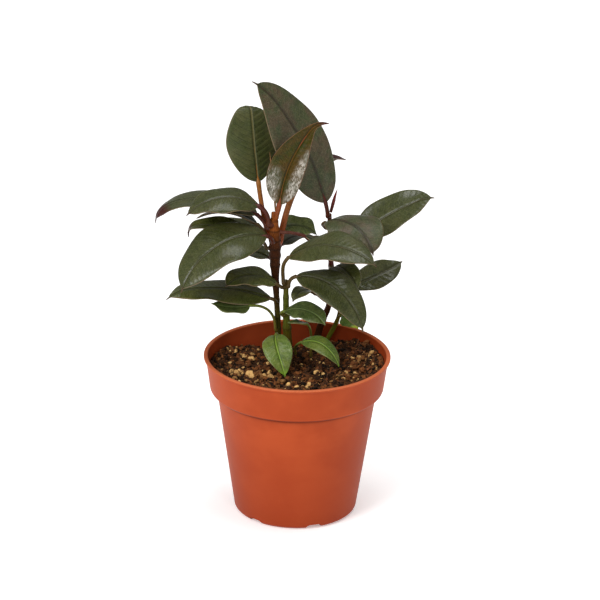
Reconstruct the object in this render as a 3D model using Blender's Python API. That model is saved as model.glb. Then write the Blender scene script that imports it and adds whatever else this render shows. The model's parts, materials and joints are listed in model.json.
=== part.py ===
"""A young burgundy rubber plant in a round plastic nursery pot.

The pot, the potting mix, the stems, the buds and every leaf are separate solids.
Z is up, and the origin is on the pot's axis in the plane that its feet stand on.
"""
from math import cos, exp, pi, radians, sin

import bmesh
import bpy
from mathutils import Matrix, Vector, noise

MM = 0.001
GAP = 0.3                   # clearance between neighbouring solids, in mm

# The pot: a thin moulded shell with a deeper band round its mouth, in mm.
POT_HEIGHT = 95.0
LIP_RADIUS = 54.0
LIP_HEIGHT = 1.6
BAND_TOP_RADIUS = 52.7
BAND_BOTTOM_RADIUS = 50.2
BAND_BOTTOM = 75.0
BAND_CHAMFER = 1.6
BODY_BASE_RADIUS = 35.2
BODY_TAPER = 0.15           # growth of the radius per mm of height
WALL = 1.3
BASE_CORNER = 1.6
FLOOR_UNDERSIDE = 2.8       # the feet lift the floor this far
CENTRE_FOOT_RADIUS = 6.0    # a low boss under the floor's middle, level with the feet
POT_SIDES = 60

# The pot's six feet are what is left of its base ring between six gaps.
FOOT_COUNT = 6
FIRST_GAP_AZIMUTH = 288.75
GAP_ARC = 16.5
FOOT_GAP_HEIGHT = 2.5
FOOT_GAP_INNER = 24.0       # radii between which the gaps cut the base ring
FOOT_GAP_OUTER = 44.0
FOOT_RING_WIDTH = 3.4
DRAIN_HOLE_RADIUS = 2.6
DRAIN_HOLE_RING = 26.5

# The potting mix nearly fills the pot, sunk against the back wall and heaped at the back right.
MIX_LEVEL = 89.5
MIX_ROUGHNESS = 0.9
HOLLOW = dict(x=-9.0, y=50.0, wide=24.0, deep=16.0, rise=-11.0)
HEAP = dict(x=40.0, y=32.0, wide=12.0, deep=12.0, rise=2.5)
MIX_SIDES = 40
MIX_RINGS = 8

# Stems run through hand-placed points (x, y, z), each with the stem's radius there.
STEM_ROUTES = {
    "main_stem": [(-11, 15, 89.8, 2.1), (-11.2, 15, 105, 1.7), (-12.4, 14, 125, 1.7), (-13.4, 13.5, 141, 2.5),
                  (-13.6, 13, 154, 3.6), (-13.8, 12.5, 166, 3.2), (-14.5, 12, 178, 1.5)],
    "green_stem": [(-5.2, 12.5, 90.0, 2.7), (-6.0, 11.5, 105, 2.5), (-7, 9.5, 122, 1.8), (-7, 7.5, 138, 1.4)],
    "rear_stem": [(10.8, 43.3, 84.5, 2.2), (12, 43, 90, 2.2), (14, 42, 98, 2.1), (19.5, 38, 113, 1.7),
                  (19, 31, 139, 1.6), (18, 27, 158, 1.5), (17.5, 25, 172.5, 1.3)],
    "side_shoot": [(17.4, 43.6, 86.2, 1.4), (19.2, 43, 90, 1.4), (23.2, 41, 99, 1.3), (25, 38, 109, 1.1),
                   (24, 35, 121, 0.9)],
}
STEM_COLOURS = {
    "main_stem": (0.10, 0.045, 0.03),
    "green_stem": (0.16, 0.20, 0.05),
    "rear_stem": (0.11, 0.045, 0.03),
    "side_shoot": (0.20, 0.22, 0.05),
}

# Each leaf: the stem it grows on and how high, then
#   stalk  (length mm, heading, climb): the leaf stalk as it leaves the stem
#   blade  (length mm, width mm)
#   base   (heading, climb) of the midrib where the blade starts
#   tip    (heading, climb) of the midrib where the blade ends
#   turn   (base, tip): roll of the blade about its midrib, + lifts its right-hand edge
#   cup    (fold, curl): slope of each half at the midrib, and its further bend to the margin
#   hook   extra climb of the last fifth of the midrib
#   point  how pointed the blade is, TIP_POWER if it is left out
#   widest where along the blade it is widest, WIDEST_AT if it is left out
#   thick  radius of the stalk in mm, STALK_RADIUS if it is left out
# Headings turn from +X towards +Y, all angles are degrees.
LEAVES = {
    "leaf_crown_tall": dict(stem="rear_stem", height=172, stalk=(9, 248, 80), blade=(87.5, 37),
                           base=(172, 76), tip=(193, 47), turn=(52, 40), cup=(-3, -5), hook=-16, thick=1.2),
    "leaf_crown_round": dict(stem="main_stem", height=163, stalk=(31, 142, 72), blade=(50, 32.5),
                            base=(118, 76), tip=(100, 62), turn=(-4, -10), cup=(-4, -6),
                            hook=-120, thick=1.4),
    "leaf_crown_front": dict(stem="main_stem", height=176, stalk=(9, -70, 66), blade=(60, 22.5),
                            base=(20, 84), tip=(8, 44), turn=(-50, -68), cup=(16, 6),
                            hook=-60, point=1.35, widest=0.34, thick=1.5),
    "leaf_crown_back": dict(stem="main_stem", height=158, stalk=(31, 60, 70), blade=(44, 16),
                           base=(42, 56), tip=(40, -28), turn=(0, 0), cup=(10, 8), hook=0, thick=1.8),
    "leaf_left_top_front": dict(stem="main_stem", height=171, stalk=(14, 215, 88), blade=(46, 24),
                               base=(176, 31), tip=(212, -38), turn=(20, 10), cup=(4, -20),
                               hook=0, thick=1.5),
    "leaf_left_top_back": dict(stem="main_stem", height=168, stalk=(10, 172, 66), blade=(68, 25),
                              base=(158, 29), tip=(205, -32), turn=(18, -10), cup=(0, -8),
                              hook=-60, thick=1.2),
    "leaf_left_arched": dict(stem="main_stem", height=163, stalk=(9, 176, 62), blade=(38, 13),
                            base=(164, 36), tip=(180, -32), turn=(-8, -10), cup=(10, 6), hook=0),
    "leaf_left_under": dict(stem="main_stem", height=157.5, stalk=(14, 118, 50), blade=(34, 15),
                           base=(166, 2), tip=(178, -22), turn=(10, 10), cup=(8, 6), hook=0),
    "leaf_left_hooked": dict(stem="main_stem", height=156, stalk=(8, 190, 68), blade=(48, 16),
                            base=(190, 34), tip=(160, -26), turn=(10, 10), cup=(10, 6), hook=-80),
    "leaf_left_broad": dict(stem="main_stem", height=161, stalk=(8, 255, 64), blade=(67, 33),
                           base=(202, 18), tip=(222, -64), turn=(28, 4), cup=(6, -16), hook=0, thick=1.2),
    "leaf_left_shaded": dict(stem="main_stem", height=145, stalk=(4, 110, 44), blade=(31, 15),
                             base=(148, 14), tip=(126, -42), turn=(10, 10), cup=(8, 6), hook=0),
    "leaf_left_curled": dict(stem="green_stem", height=134, stalk=(4, 215, 40), blade=(35, 19),
                            base=(168, 34), tip=(236, -24), turn=(15, 15), cup=(8, -14), hook=0),
    "leaf_left_low": dict(stem="main_stem", height=123, stalk=(5, 260, 52), blade=(67, 24),
                         base=(172, 18), tip=(226, -2), turn=(22, 2), cup=(-4, -8), hook=-20),
    "leaf_left_green": dict(stem="main_stem", height=105, stalk=(30, 238, 79), blade=(23, 14),
                           base=(200, -4), tip=(186, 20), turn=(20, 10), cup=(6, 6), hook=0, thick=0.8),
    "leaf_right_top_back": dict(stem="rear_stem", height=147, stalk=(13, 5, 42), blade=(54, 25),
                               base=(4, 38), tip=(2, 24), turn=(-36, -34), cup=(6, 6), hook=-30),
    "leaf_right_top_front": dict(stem="rear_stem", height=164, stalk=(9, 215, 45), blade=(43, 30),
                                base=(335, 30), tip=(300, -62), turn=(5, -46), cup=(-4, -10), hook=0),
    "leaf_right_mid_front": dict(stem="green_stem", height=137, stalk=(21, 240, 82), blade=(60, 26),
                                base=(338, 44), tip=(332, -35), turn=(-20, -18), cup=(4, -14),
                                hook=0, thick=1.1),
    "leaf_right_behind": dict(stem="main_stem", height=166, stalk=(13, -8, 2), blade=(32, 14),
                             base=(4, -24), tip=(30, -20), turn=(0, 0), cup=(10, 6), hook=0),
    "leaf_back_upright": dict(stem="main_stem", height=158.5, stalk=(10, 92, 42), blade=(23, 14),
                             base=(12, 22), tip=(8, -52), turn=(-36, -30), cup=(8, 6), hook=0),
    "leaf_back_dark": dict(stem="main_stem", height=152, stalk=(5, 70, 40), blade=(35, 16),
                          base=(58, 14), tip=(36, -34), turn=(0, 0), cup=(8, 6), hook=0),
    "leaf_right_low_broad": dict(stem="green_stem", height=135, stalk=(10, 300, 80), blade=(57, 23),
                                base=(340, 16), tip=(318, -74), turn=(-24, -18), cup=(4, -16),
                                hook=0, thick=1.1),
    "leaf_right_pale": dict(stem="rear_stem", height=138, stalk=(10, 262, 8), blade=(30, 15),
                           base=(300, 38), tip=(310, -64), turn=(-10, -10), cup=(6, 6), hook=0),
    "leaf_right_wide": dict(stem="side_shoot", height=119, stalk=(6, 20, 58), blade=(36, 17),
                           base=(10, 18), tip=(44, 14), turn=(-42, -42), cup=(6, 6), hook=0),
    "leaf_low_back": dict(stem="rear_stem", height=113, stalk=(18, 255, 24), blade=(25, 12),
                         base=(214, 50), tip=(244, -38), turn=(0, 0), cup=(6, 6), hook=0, thick=0.85),
    "leaf_low_front": dict(stem="green_stem", height=116, stalk=(7, 230, 50), blade=(31, 15),
                          base=(345, 28), tip=(305, -34), turn=(-14, -26), cup=(2, -6), hook=0, thick=0.85),
    "leaf_low_small": dict(stem=(8, 13, 90.4), height=90, stalk=(28, 275, 84), blade=(13, 8),
                          base=(240, 30), tip=(170, -10), turn=(0, 0), cup=(6, 6), hook=0, thick=0.7),
    "leaf_front_heart": dict(stem="main_stem", height=101, stalk=(13, 265, 42), blade=(32, 17),
                            base=(264, 4), tip=(310, -70), turn=(-10, 0), cup=(7, 7), hook=0, thick=0.85),
    "leaf_front_small": dict(stem=(-0.8, 11.6, 90.6), height=90, stalk=(17, 255, 52), blade=(32, 11),
                            base=(326, 33), tip=(330, -72), turn=(-36, -10), cup=(2, -12),
                            hook=0, thick=0.75),
    "leaf_right_bright": dict(stem="side_shoot", height=104, stalk=(3, -70, 70), blade=(18, 15),
                             base=(-50, 25), tip=(-60, -55), turn=(-45, -45), cup=(6, 6),
                             hook=0, thick=0.8),
}
STALK_RADIUS = 1.0
MIDRIB_HALF = 0.75          # half the leaf's thickness at its midrib
BLADE_HALF = 0.42           # and halfway out to the margin
WIDEST_AT = 0.47            # where along the blade it is widest
TIP_POWER = 0.72            # greater is more pointed
DRIP_TIP = 0.04             # share of the length in the narrow drip tip
TIP_HALF = 0.35             # half width at the very tip
TIP_FLARE = 12.0            # how fast it widens away from there
TIP_FROM = 0.88             # share of the length where the flare begins
HOOK_FROM = 0.8             # share of the length where a hooked tip begins
FOLD_AT_BASE = 0.3          # share of its fold that a blade has at its base
FOLD_GROWTH = 3.0           # and how soon along the blade it folds fully
THIN_TO_TIP = 0.55          # share of its thickness that a blade loses by the tip
STALK_RINGS = 5
BLADE_RINGS = 10

# Buds: slim rolled sheaths at the stems' ends, as (stem, base height, length, radius, heading, climb).
BUDS = {
    "bud_rear": dict(base=(18.4, 26.2, 173.9), length=14, radius=1.3, heading=50, climb=66),
    "bud_front": dict(base=(-13.6, 14.6, 178.8), length=35, radius=0.8, heading=138, climb=81.6),
}


def clear_scene():
    """Remove whatever objects the scene starts with."""
    for obj in list(bpy.data.objects):
        bpy.data.objects.remove(obj, do_unlink=True)


def material(name, colour, roughness, coat=0.0):
    """A Principled material of one colour, with an optional glossy coat."""
    result = bpy.data.materials.new(name)
    result.use_nodes = True
    shader = result.node_tree.nodes["Principled BSDF"]
    shader.inputs["Base Color"].default_value = (*colour, 1.0)
    shader.inputs["Roughness"].default_value = roughness
    shader.inputs["Metallic"].default_value = 0.0
    shader.inputs["Coat Weight"].default_value = coat
    result.diffuse_color = (*colour, 1.0)
    return result


def add_mesh_object(name, bm, mat):
    """Turn a bmesh built in millimetres into a named object in metres."""
    bmesh.ops.transform(bm, matrix=Matrix.Scale(MM, 4), verts=bm.verts)
    bmesh.ops.recalc_face_normals(bm, faces=bm.faces)
    mesh = bpy.data.meshes.new(name)
    bm.to_mesh(mesh)
    bm.free()
    mesh.materials.append(mat)
    mesh.shade_smooth()
    mesh.set_sharp_from_angle(angle=radians(35))
    obj = bpy.data.objects.new(name, mesh)
    bpy.context.collection.objects.link(obj)
    return obj


def turned(profile, sides):
    """Spin a profile of (radius, z) points once round the Z axis."""
    bm = bmesh.new()
    verts = [bm.verts.new((radius, 0.0, z)) for radius, z in profile]
    edges = [bm.edges.new(pair) for pair in zip(verts, verts[1:])]
    bmesh.ops.spin(bm, geom=verts + edges, cent=(0, 0, 0), axis=(0, 0, 1), dvec=(0, 0, 0),
                   angle=2 * pi, steps=sides, use_merge=True)
    bmesh.ops.remove_doubles(bm, verts=bm.verts, dist=1e-4)
    return bm


# ---------------------------------------------------------------- pot

def body_radius(z):
    """Outer radius of the pot's tapered body at height z."""
    return BODY_BASE_RADIUS + BODY_TAPER * z


def pot_profile():
    """The shell's section from the floor's underside, up the outside, and back down the inside."""
    ledge = BAND_BOTTOM - BAND_CHAMFER
    lip_bottom = POT_HEIGHT - LIP_HEIGHT
    floor_top = FLOOR_UNDERSIDE + WALL
    foot_inside = BODY_BASE_RADIUS - BASE_CORNER - FOOT_RING_WIDTH
    outside = [
        (0.0, 0.0),
        (CENTRE_FOOT_RADIUS, 0.0),
        (CENTRE_FOOT_RADIUS + 0.4, FLOOR_UNDERSIDE),
        (foot_inside, FLOOR_UNDERSIDE),
        (foot_inside, 0.0),
        (BODY_BASE_RADIUS - BASE_CORNER, 0.0),
        (BODY_BASE_RADIUS - 0.3 * BASE_CORNER, 0.35 * BASE_CORNER),
        (body_radius(BASE_CORNER), BASE_CORNER),
        (body_radius(ledge), ledge),
        (BAND_BOTTOM_RADIUS - BAND_CHAMFER, ledge),
        (BAND_BOTTOM_RADIUS, BAND_BOTTOM),
        (BAND_TOP_RADIUS, lip_bottom),
        (LIP_RADIUS, lip_bottom + 0.3),
        (LIP_RADIUS, POT_HEIGHT - 0.4),
        (LIP_RADIUS - 0.5, POT_HEIGHT),
    ]
    inside = [
        (BAND_TOP_RADIUS - WALL + 0.3, POT_HEIGHT),
        (BAND_TOP_RADIUS - WALL, lip_bottom),
        (BAND_BOTTOM_RADIUS - WALL, BAND_BOTTOM + 1.0),
        (body_radius(ledge) - WALL, ledge - 0.5),
        (body_radius(floor_top) - WALL, floor_top),
        (0.0, floor_top),
    ]
    return outside + inside


def hide_cutter(cutter):
    """Keep a cutting solid out of the finished model."""
    cutter.hide_render = True
    cutter.display_type = "WIRE"


def foot_gap_cutter(plain):
    """Six wedges that part the base ring into feet."""
    bm = bmesh.new()
    half = radians(GAP_ARC / 2)
    for index in range(FOOT_COUNT):
        azimuth = radians(FIRST_GAP_AZIMUTH + index * 360 / FOOT_COUNT)
        inner, outer = FOOT_GAP_INNER, FOOT_GAP_OUTER
        corners = [(inner, -half), (outer, -half), (outer, half), (inner, half)]
        low = [bm.verts.new((r * cos(azimuth + a), r * sin(azimuth + a), -5.0)) for r, a in corners]
        extruded = bmesh.ops.extrude_face_region(bm, geom=[bm.faces.new(low)])["geom"]
        raised = [item for item in extruded if isinstance(item, bmesh.types.BMVert)]
        bmesh.ops.translate(bm, vec=(0, 0, 5.0 + FOOT_GAP_HEIGHT), verts=raised)
    cutter = add_mesh_object("foot_gap_cutter", bm, plain)
    hide_cutter(cutter)
    return cutter


def drain_hole_cutter(plain):
    """Six round holes through the floor, one behind each gap between the feet."""
    bm = bmesh.new()
    for index in range(FOOT_COUNT):
        azimuth = radians(FIRST_GAP_AZIMUTH + index * 360 / FOOT_COUNT)
        centre = (DRAIN_HOLE_RING * cos(azimuth), DRAIN_HOLE_RING * sin(azimuth), FLOOR_UNDERSIDE)
        bmesh.ops.create_cone(bm, cap_ends=True, segments=16, radius1=DRAIN_HOLE_RADIUS,
                              radius2=DRAIN_HOLE_RADIUS, depth=4 * WALL,
                              matrix=Matrix.Translation(centre))
    cutter = add_mesh_object("drain_hole_cutter", bm, plain)
    hide_cutter(cutter)
    return cutter


def make_pot():
    """The shell turned from its section, less its foot gaps and drain holes."""
    terracotta_plastic = material("terracotta_plastic", (0.48, 0.10, 0.035), 0.45)
    pot = add_mesh_object("pot", turned(pot_profile(), POT_SIDES), terracotta_plastic)
    for cutter in (foot_gap_cutter(terracotta_plastic), drain_hole_cutter(terracotta_plastic)):
        cut = pot.modifiers.new(cutter.name, "BOOLEAN")
        cut.operation = "DIFFERENCE"
        cut.solver = "EXACT"
        cut.object = cutter
    return pot


# ---------------------------------------------------------------- potting mix

def bump(x, y, shape):
    """Height at (x, y) of a smooth round swelling or hollow."""
    across = (x - shape["x"]) / shape["wide"]
    along = (y - shape["y"]) / shape["deep"]
    return shape["rise"] * exp(-0.5 * (across ** 2 + along ** 2))


def mix_height(x, y):
    """Height of the potting mix's lumpy top at (x, y)."""
    lump = noise.noise(Vector((x, y, 0.0)) * 0.12) * MIX_ROUGHNESS
    return MIX_LEVEL + bump(x, y, HOLLOW) + bump(x, y, HEAP) + lump


def band_inside(z):
    """Inner radius of the pot's upper band at height z."""
    low = BAND_BOTTOM + 1.0
    share = (z - low) / (POT_HEIGHT - LIP_HEIGHT - low)
    return BAND_BOTTOM_RADIUS - WALL + share * (BAND_TOP_RADIUS - BAND_BOTTOM_RADIUS)


def make_mix():
    """The mix follows the pot's inside and stays clear of it."""
    ledge = BAND_BOTTOM - BAND_CHAMFER
    floor_top = FLOOR_UNDERSIDE + WALL + GAP
    top_radius = band_inside(MIX_LEVEL)
    profile = [
        (0.0, floor_top),
        (body_radius(floor_top) - WALL - GAP, floor_top),
        (body_radius(ledge) - WALL - GAP, ledge - 0.5 + GAP),
        (BAND_BOTTOM_RADIUS - WALL - 2 * GAP, BAND_BOTTOM + 1.0 + 2 * GAP),
    ]
    for ring in range(MIX_RINGS + 1):
        profile.append((top_radius * (1 - ring / MIX_RINGS), MIX_LEVEL))
    bm = turned(profile, MIX_SIDES)
    for vert in bm.verts:
        if vert.co.z > MIX_LEVEL - 1:
            height = mix_height(vert.co.x, vert.co.y)
            shrink = (band_inside(height) - 1.2 * GAP) / top_radius
            vert.co = (vert.co.x * shrink, vert.co.y * shrink, height)
    return add_mesh_object("potting_mix", bm, material("peat_and_bark", (0.10, 0.045, 0.02), 0.9))


# ---------------------------------------------------------------- stems and buds

def make_stem(name, route):
    """A round stem through its route, as a bevelled curve with filled caps."""
    curve = bpy.data.curves.new(name, "CURVE")
    curve.dimensions = "3D"
    curve.bevel_depth = MM
    curve.bevel_resolution = 2
    curve.resolution_u = 3
    curve.use_fill_caps = True
    spline = curve.splines.new("NURBS")
    spline.points.add(len(route) - 1)
    for point, (x, y, z, radius) in zip(spline.points, route):
        point.co = (x * MM, y * MM, z * MM, 1.0)
        point.radius = radius
    spline.order_u = 3
    spline.use_endpoint_u = True
    curve.materials.append(material(name + "_bark", STEM_COLOURS[name], 0.5))
    stem = bpy.data.objects.new(name, curve)
    bpy.context.collection.objects.link(stem)
    return stem


def loft(rings):
    """Skin a list of equal rings of points into one closed bmesh."""
    bm = bmesh.new()
    loops = [[bm.verts.new(point) for point in ring] for ring in rings]
    count = len(rings[0])
    for near, far in zip(loops, loops[1:]):
        for index in range(count):
            following = (index + 1) % count
            bm.faces.new((near[index], near[following], far[following], far[index]))
    bm.faces.new(list(reversed(loops[0])))
    bm.faces.new(loops[-1])
    bmesh.ops.triangulate(bm, faces=bm.faces)
    return bm


def direction(heading, climb):
    """Unit vector along a heading and climb in degrees."""
    h, c = radians(heading), radians(climb)
    return Vector((cos(c) * cos(h), cos(c) * sin(h), sin(c)))


def uphill(heading, climb):
    """Unit vector square to direction(), on its upper side."""
    return direction(heading, climb + 90)


def make_bud(name, base, length, radius, heading, climb):
    """A spindle that swells a little above its foot and ends in a point."""
    along = direction(heading, climb)
    side = uphill(heading, climb)
    across = along.cross(side)
    rings = []
    for step in range(7):
        t = step / 6
        swell = radius * (0.55 + 0.9 * t * (1 - t)) * (1 - t ** 3) + 0.12
        centre = Vector(base) + along * (length * t)
        turn = [2 * pi * index / 8 for index in range(8)]
        rings.append([centre + side * (swell * cos(a)) + across * (swell * sin(a)) for a in turn])
    return add_mesh_object(name, loft(rings), material(name + "_sheath", (0.22, 0.03, 0.03), 0.4))


# ---------------------------------------------------------------- leaves

def stem_point(stem, height):
    """Centre and radius of a stem at a height, or a free-standing foot as it is given."""
    if not isinstance(stem, str):
        return Vector(stem), 0.0
    route = STEM_ROUTES[stem]
    for low, high in zip(route, route[1:]):
        if height <= high[2]:
            break
    t = (height - low[2]) / (high[2] - low[2])
    centre = Vector(low[:3]).lerp(Vector(high[:3]), t)
    return centre, low[3] + (high[3] - low[3]) * t


def mix(a, b, t):
    return a + (b - a) * t


def blade_outline(t, point, widest):
    """Half width of the blade along its length, as a share of the greatest half width."""
    along = min(t / (1 - DRIP_TIP), 1.0)
    base_power = point * widest / (1 - widest)
    peak = widest ** base_power * (1 - widest) ** point
    return along ** base_power * (1 - along) ** point / peak


def drip_half(t):
    """Half width of the drip tip, which flares out into the blade."""
    return TIP_HALF + TIP_FLARE * (1 - t) if t > TIP_FROM else TIP_HALF


def half_section(share, half_width, fold, curl):
    """Offsets (sideways, upwards) of a point a share of the way from midrib to margin."""
    slope, bend = radians(fold), radians(curl)
    if abs(bend) < 1e-4:
        return half_width * share * cos(slope), half_width * share * sin(slope)
    sideways = (sin(slope + bend * share) - sin(slope)) / bend
    upwards = (cos(slope) - cos(slope + bend * share)) / bend
    return half_width * sideways, half_width * upwards


def leaf_rings(stem, height, stalk, blade, base, tip, turn, cup, hook,
               point=TIP_POWER, widest=WIDEST_AT, thick=STALK_RADIUS):
    """Rings of eight points along the leaf stalk and then the blade."""
    foot, stem_radius = stem_point(stem, height)
    clearance = stem_radius + thick + GAP if stem_radius else 0.0
    place = foot + direction(stalk[1], 0) * clearance
    rings = []
    for step in range(STALK_RINGS):
        t = step / STALK_RINGS
        heading, climb = mix(stalk[1], base[0], t), mix(stalk[2], base[1], t)
        up, along = uphill(heading, climb), direction(heading, climb)
        right = along.cross(up)
        ring = []
        for index in range(8):
            angle = pi - index * pi / 4
            ring.append(place + right * (thick * cos(angle)) + up * (thick * sin(angle)))
        rings.append(ring)
        place = place + along * (stalk[0] / STALK_RINGS)
    last = 0.0
    for step in range(BLADE_RINGS + 1):
        t = 0.5 - 0.5 * cos(pi * min(max(step / BLADE_RINGS, 0.03), 0.985))
        middle = (t + last) / 2
        curl_up = hook * max(0.0, middle - HOOK_FROM) / (1 - HOOK_FROM)
        heading, climb = mix(base[0], tip[0], middle), mix(base[1], tip[1], middle) + curl_up
        place = place + direction(heading, climb) * (blade[0] * (t - last))
        last = t
        curl_up = hook * max(0.0, t - HOOK_FROM) / (1 - HOOK_FROM)
        heading, climb = mix(base[0], tip[0], t), mix(base[1], tip[1], t) + curl_up
        roll = radians(mix(turn[0], turn[1], t))
        level_up, along = uphill(heading, climb), direction(heading, climb)
        level_right = along.cross(level_up)
        right = level_right * cos(roll) + level_up * sin(roll)
        up = level_up * cos(roll) - level_right * sin(roll)
        half_width = max(blade[1] / 2 * blade_outline(t, point, widest), drip_half(t))
        fold = cup[0] * min(1.0, FOLD_AT_BASE + FOLD_GROWTH * t)
        thin = 1.0 - THIN_TO_TIP * t
        stations = [(-1, 0), (-0.5, BLADE_HALF), (0, MIDRIB_HALF), (0.5, BLADE_HALF),
                    (1, 0), (0.5, -BLADE_HALF), (0, -MIDRIB_HALF), (-0.5, -BLADE_HALF)]
        ring = []
        for side, thickness in stations:
            sideways, upwards = half_section(abs(side), half_width, fold, cup[1])
            sideways = -sideways if side < 0 else sideways
            ring.append(place + right * sideways + up * (upwards + thickness * thin))
        rings.append(ring)
    return rings


def leaf_colour(name):
    greener = ("green", "heart", "bright", "small")
    if any(word in name for word in greener):
        return (0.14, 0.20, 0.05)
    return (0.055, 0.06, 0.028)


def main():
    clear_scene()
    make_pot()
    make_mix()
    for name, route in STEM_ROUTES.items():
        make_stem(name, route)
    for name, bud in BUDS.items():
        make_bud(name, **bud)
    for name, leaf in LEAVES.items():
        waxy = material(name + "_blade", leaf_colour(name), 0.35, coat=0.3)
        add_mesh_object(name, loft(leaf_rings(**leaf)), waxy)


main()
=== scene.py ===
"""The looks of the potted rubber plant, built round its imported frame."""

import json
from math import cos, exp, pi, radians, sin

import bmesh
import bpy
import numpy as np
from mathutils import Matrix, Vector, noise

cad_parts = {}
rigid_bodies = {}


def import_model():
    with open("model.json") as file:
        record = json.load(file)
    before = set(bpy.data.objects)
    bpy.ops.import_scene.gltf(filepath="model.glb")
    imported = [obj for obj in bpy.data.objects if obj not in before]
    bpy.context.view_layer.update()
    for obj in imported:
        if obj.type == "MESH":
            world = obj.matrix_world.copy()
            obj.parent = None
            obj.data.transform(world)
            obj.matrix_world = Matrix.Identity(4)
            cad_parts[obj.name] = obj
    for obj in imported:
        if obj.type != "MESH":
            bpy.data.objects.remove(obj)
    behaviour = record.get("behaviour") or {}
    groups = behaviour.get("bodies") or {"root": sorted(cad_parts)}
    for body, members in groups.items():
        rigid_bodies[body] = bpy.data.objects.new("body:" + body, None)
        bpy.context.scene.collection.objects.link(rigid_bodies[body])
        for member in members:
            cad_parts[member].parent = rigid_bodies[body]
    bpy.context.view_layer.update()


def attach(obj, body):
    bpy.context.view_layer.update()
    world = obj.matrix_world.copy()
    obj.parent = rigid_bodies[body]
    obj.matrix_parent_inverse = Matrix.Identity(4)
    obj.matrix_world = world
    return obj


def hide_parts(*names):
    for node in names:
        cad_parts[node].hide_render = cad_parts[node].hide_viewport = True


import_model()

for left_over in [o for o in bpy.data.objects if o.name in ("Cube", "Light", "Camera")]:
    bpy.data.objects.remove(left_over, do_unlink=True)


# Nursery pot
# A thin-walled pot of terracotta-coloured polypropylene, injection moulded in one piece: a plain
# tapered body, a wider upper band over a small ledge, a rolled lip, and a base ring parted into feet.

MM = 0.001                  # one millimetre in metres: all sizes below are millimetres
POT_HEIGHT = 95.0
LIP_RADIUS = 54.0
BAND_TOP_RADIUS = 52.7
BAND_BOTTOM_RADIUS = 50.2
BAND_BOTTOM = 75.0
BAND_CHAMFER = 1.6
LIP_DEPTH = 1.6
CORNER_FILLET = 0.9
FILLET_STEPS = 4
BODY_BASE_RADIUS = 35.2
BODY_TAPER = 0.15           # radius gained for each millimetre of height
BODY_MIDDLE = 40.0
BASE_CHAMFER = 1.6
WALL = 1.3
FLOOR_UNDERSIDE = 2.8
CENTRE_FOOT_RADIUS = 6.0
FOOT_RING_WIDTH = 3.4
FOOT_COUNT = 6
FIRST_GAP_AZIMUTH = 288.75
GAP_ARC = 16.5
FOOT_GAP_HEIGHT = 2.5
FOOT_GAP_REACH = (24.0, 44.0)
FOOT_GAP_STEPS = 16
FOOT_GAP_SQUARENESS = 6
CUT_BELOW = -5.0
DRAIN_HOLE_RADIUS = 2.6
DRAIN_HOLE_RING = 26.5
DRAIN_HOLE_SPAN = (6.0, -1.0)
DRAIN_HOLE_SIDES = 32
POT_SIDES = 144


class Value:
    """A number or colour that varies over a surface, with arithmetic that adds Math nodes."""

    def __init__(self, tree, socket):
        self.tree = tree
        self.socket = socket

    def math(self, operation, other, swap=False):
        first, second = (other, self) if swap else (self, other)
        return self.tree.add("ShaderNodeMath", {"operation": operation}, {0: first, 1: second})

    def __add__(self, other):
        return self.math("ADD", other)

    def __radd__(self, other):
        return self.math("ADD", other, swap=True)

    def __sub__(self, other):
        return self.math("SUBTRACT", other)

    def __rsub__(self, other):
        return self.math("SUBTRACT", other, swap=True)

    def __mul__(self, other):
        return self.math("MULTIPLY", other)

    def __rmul__(self, other):
        return self.math("MULTIPLY", other, swap=True)


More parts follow.
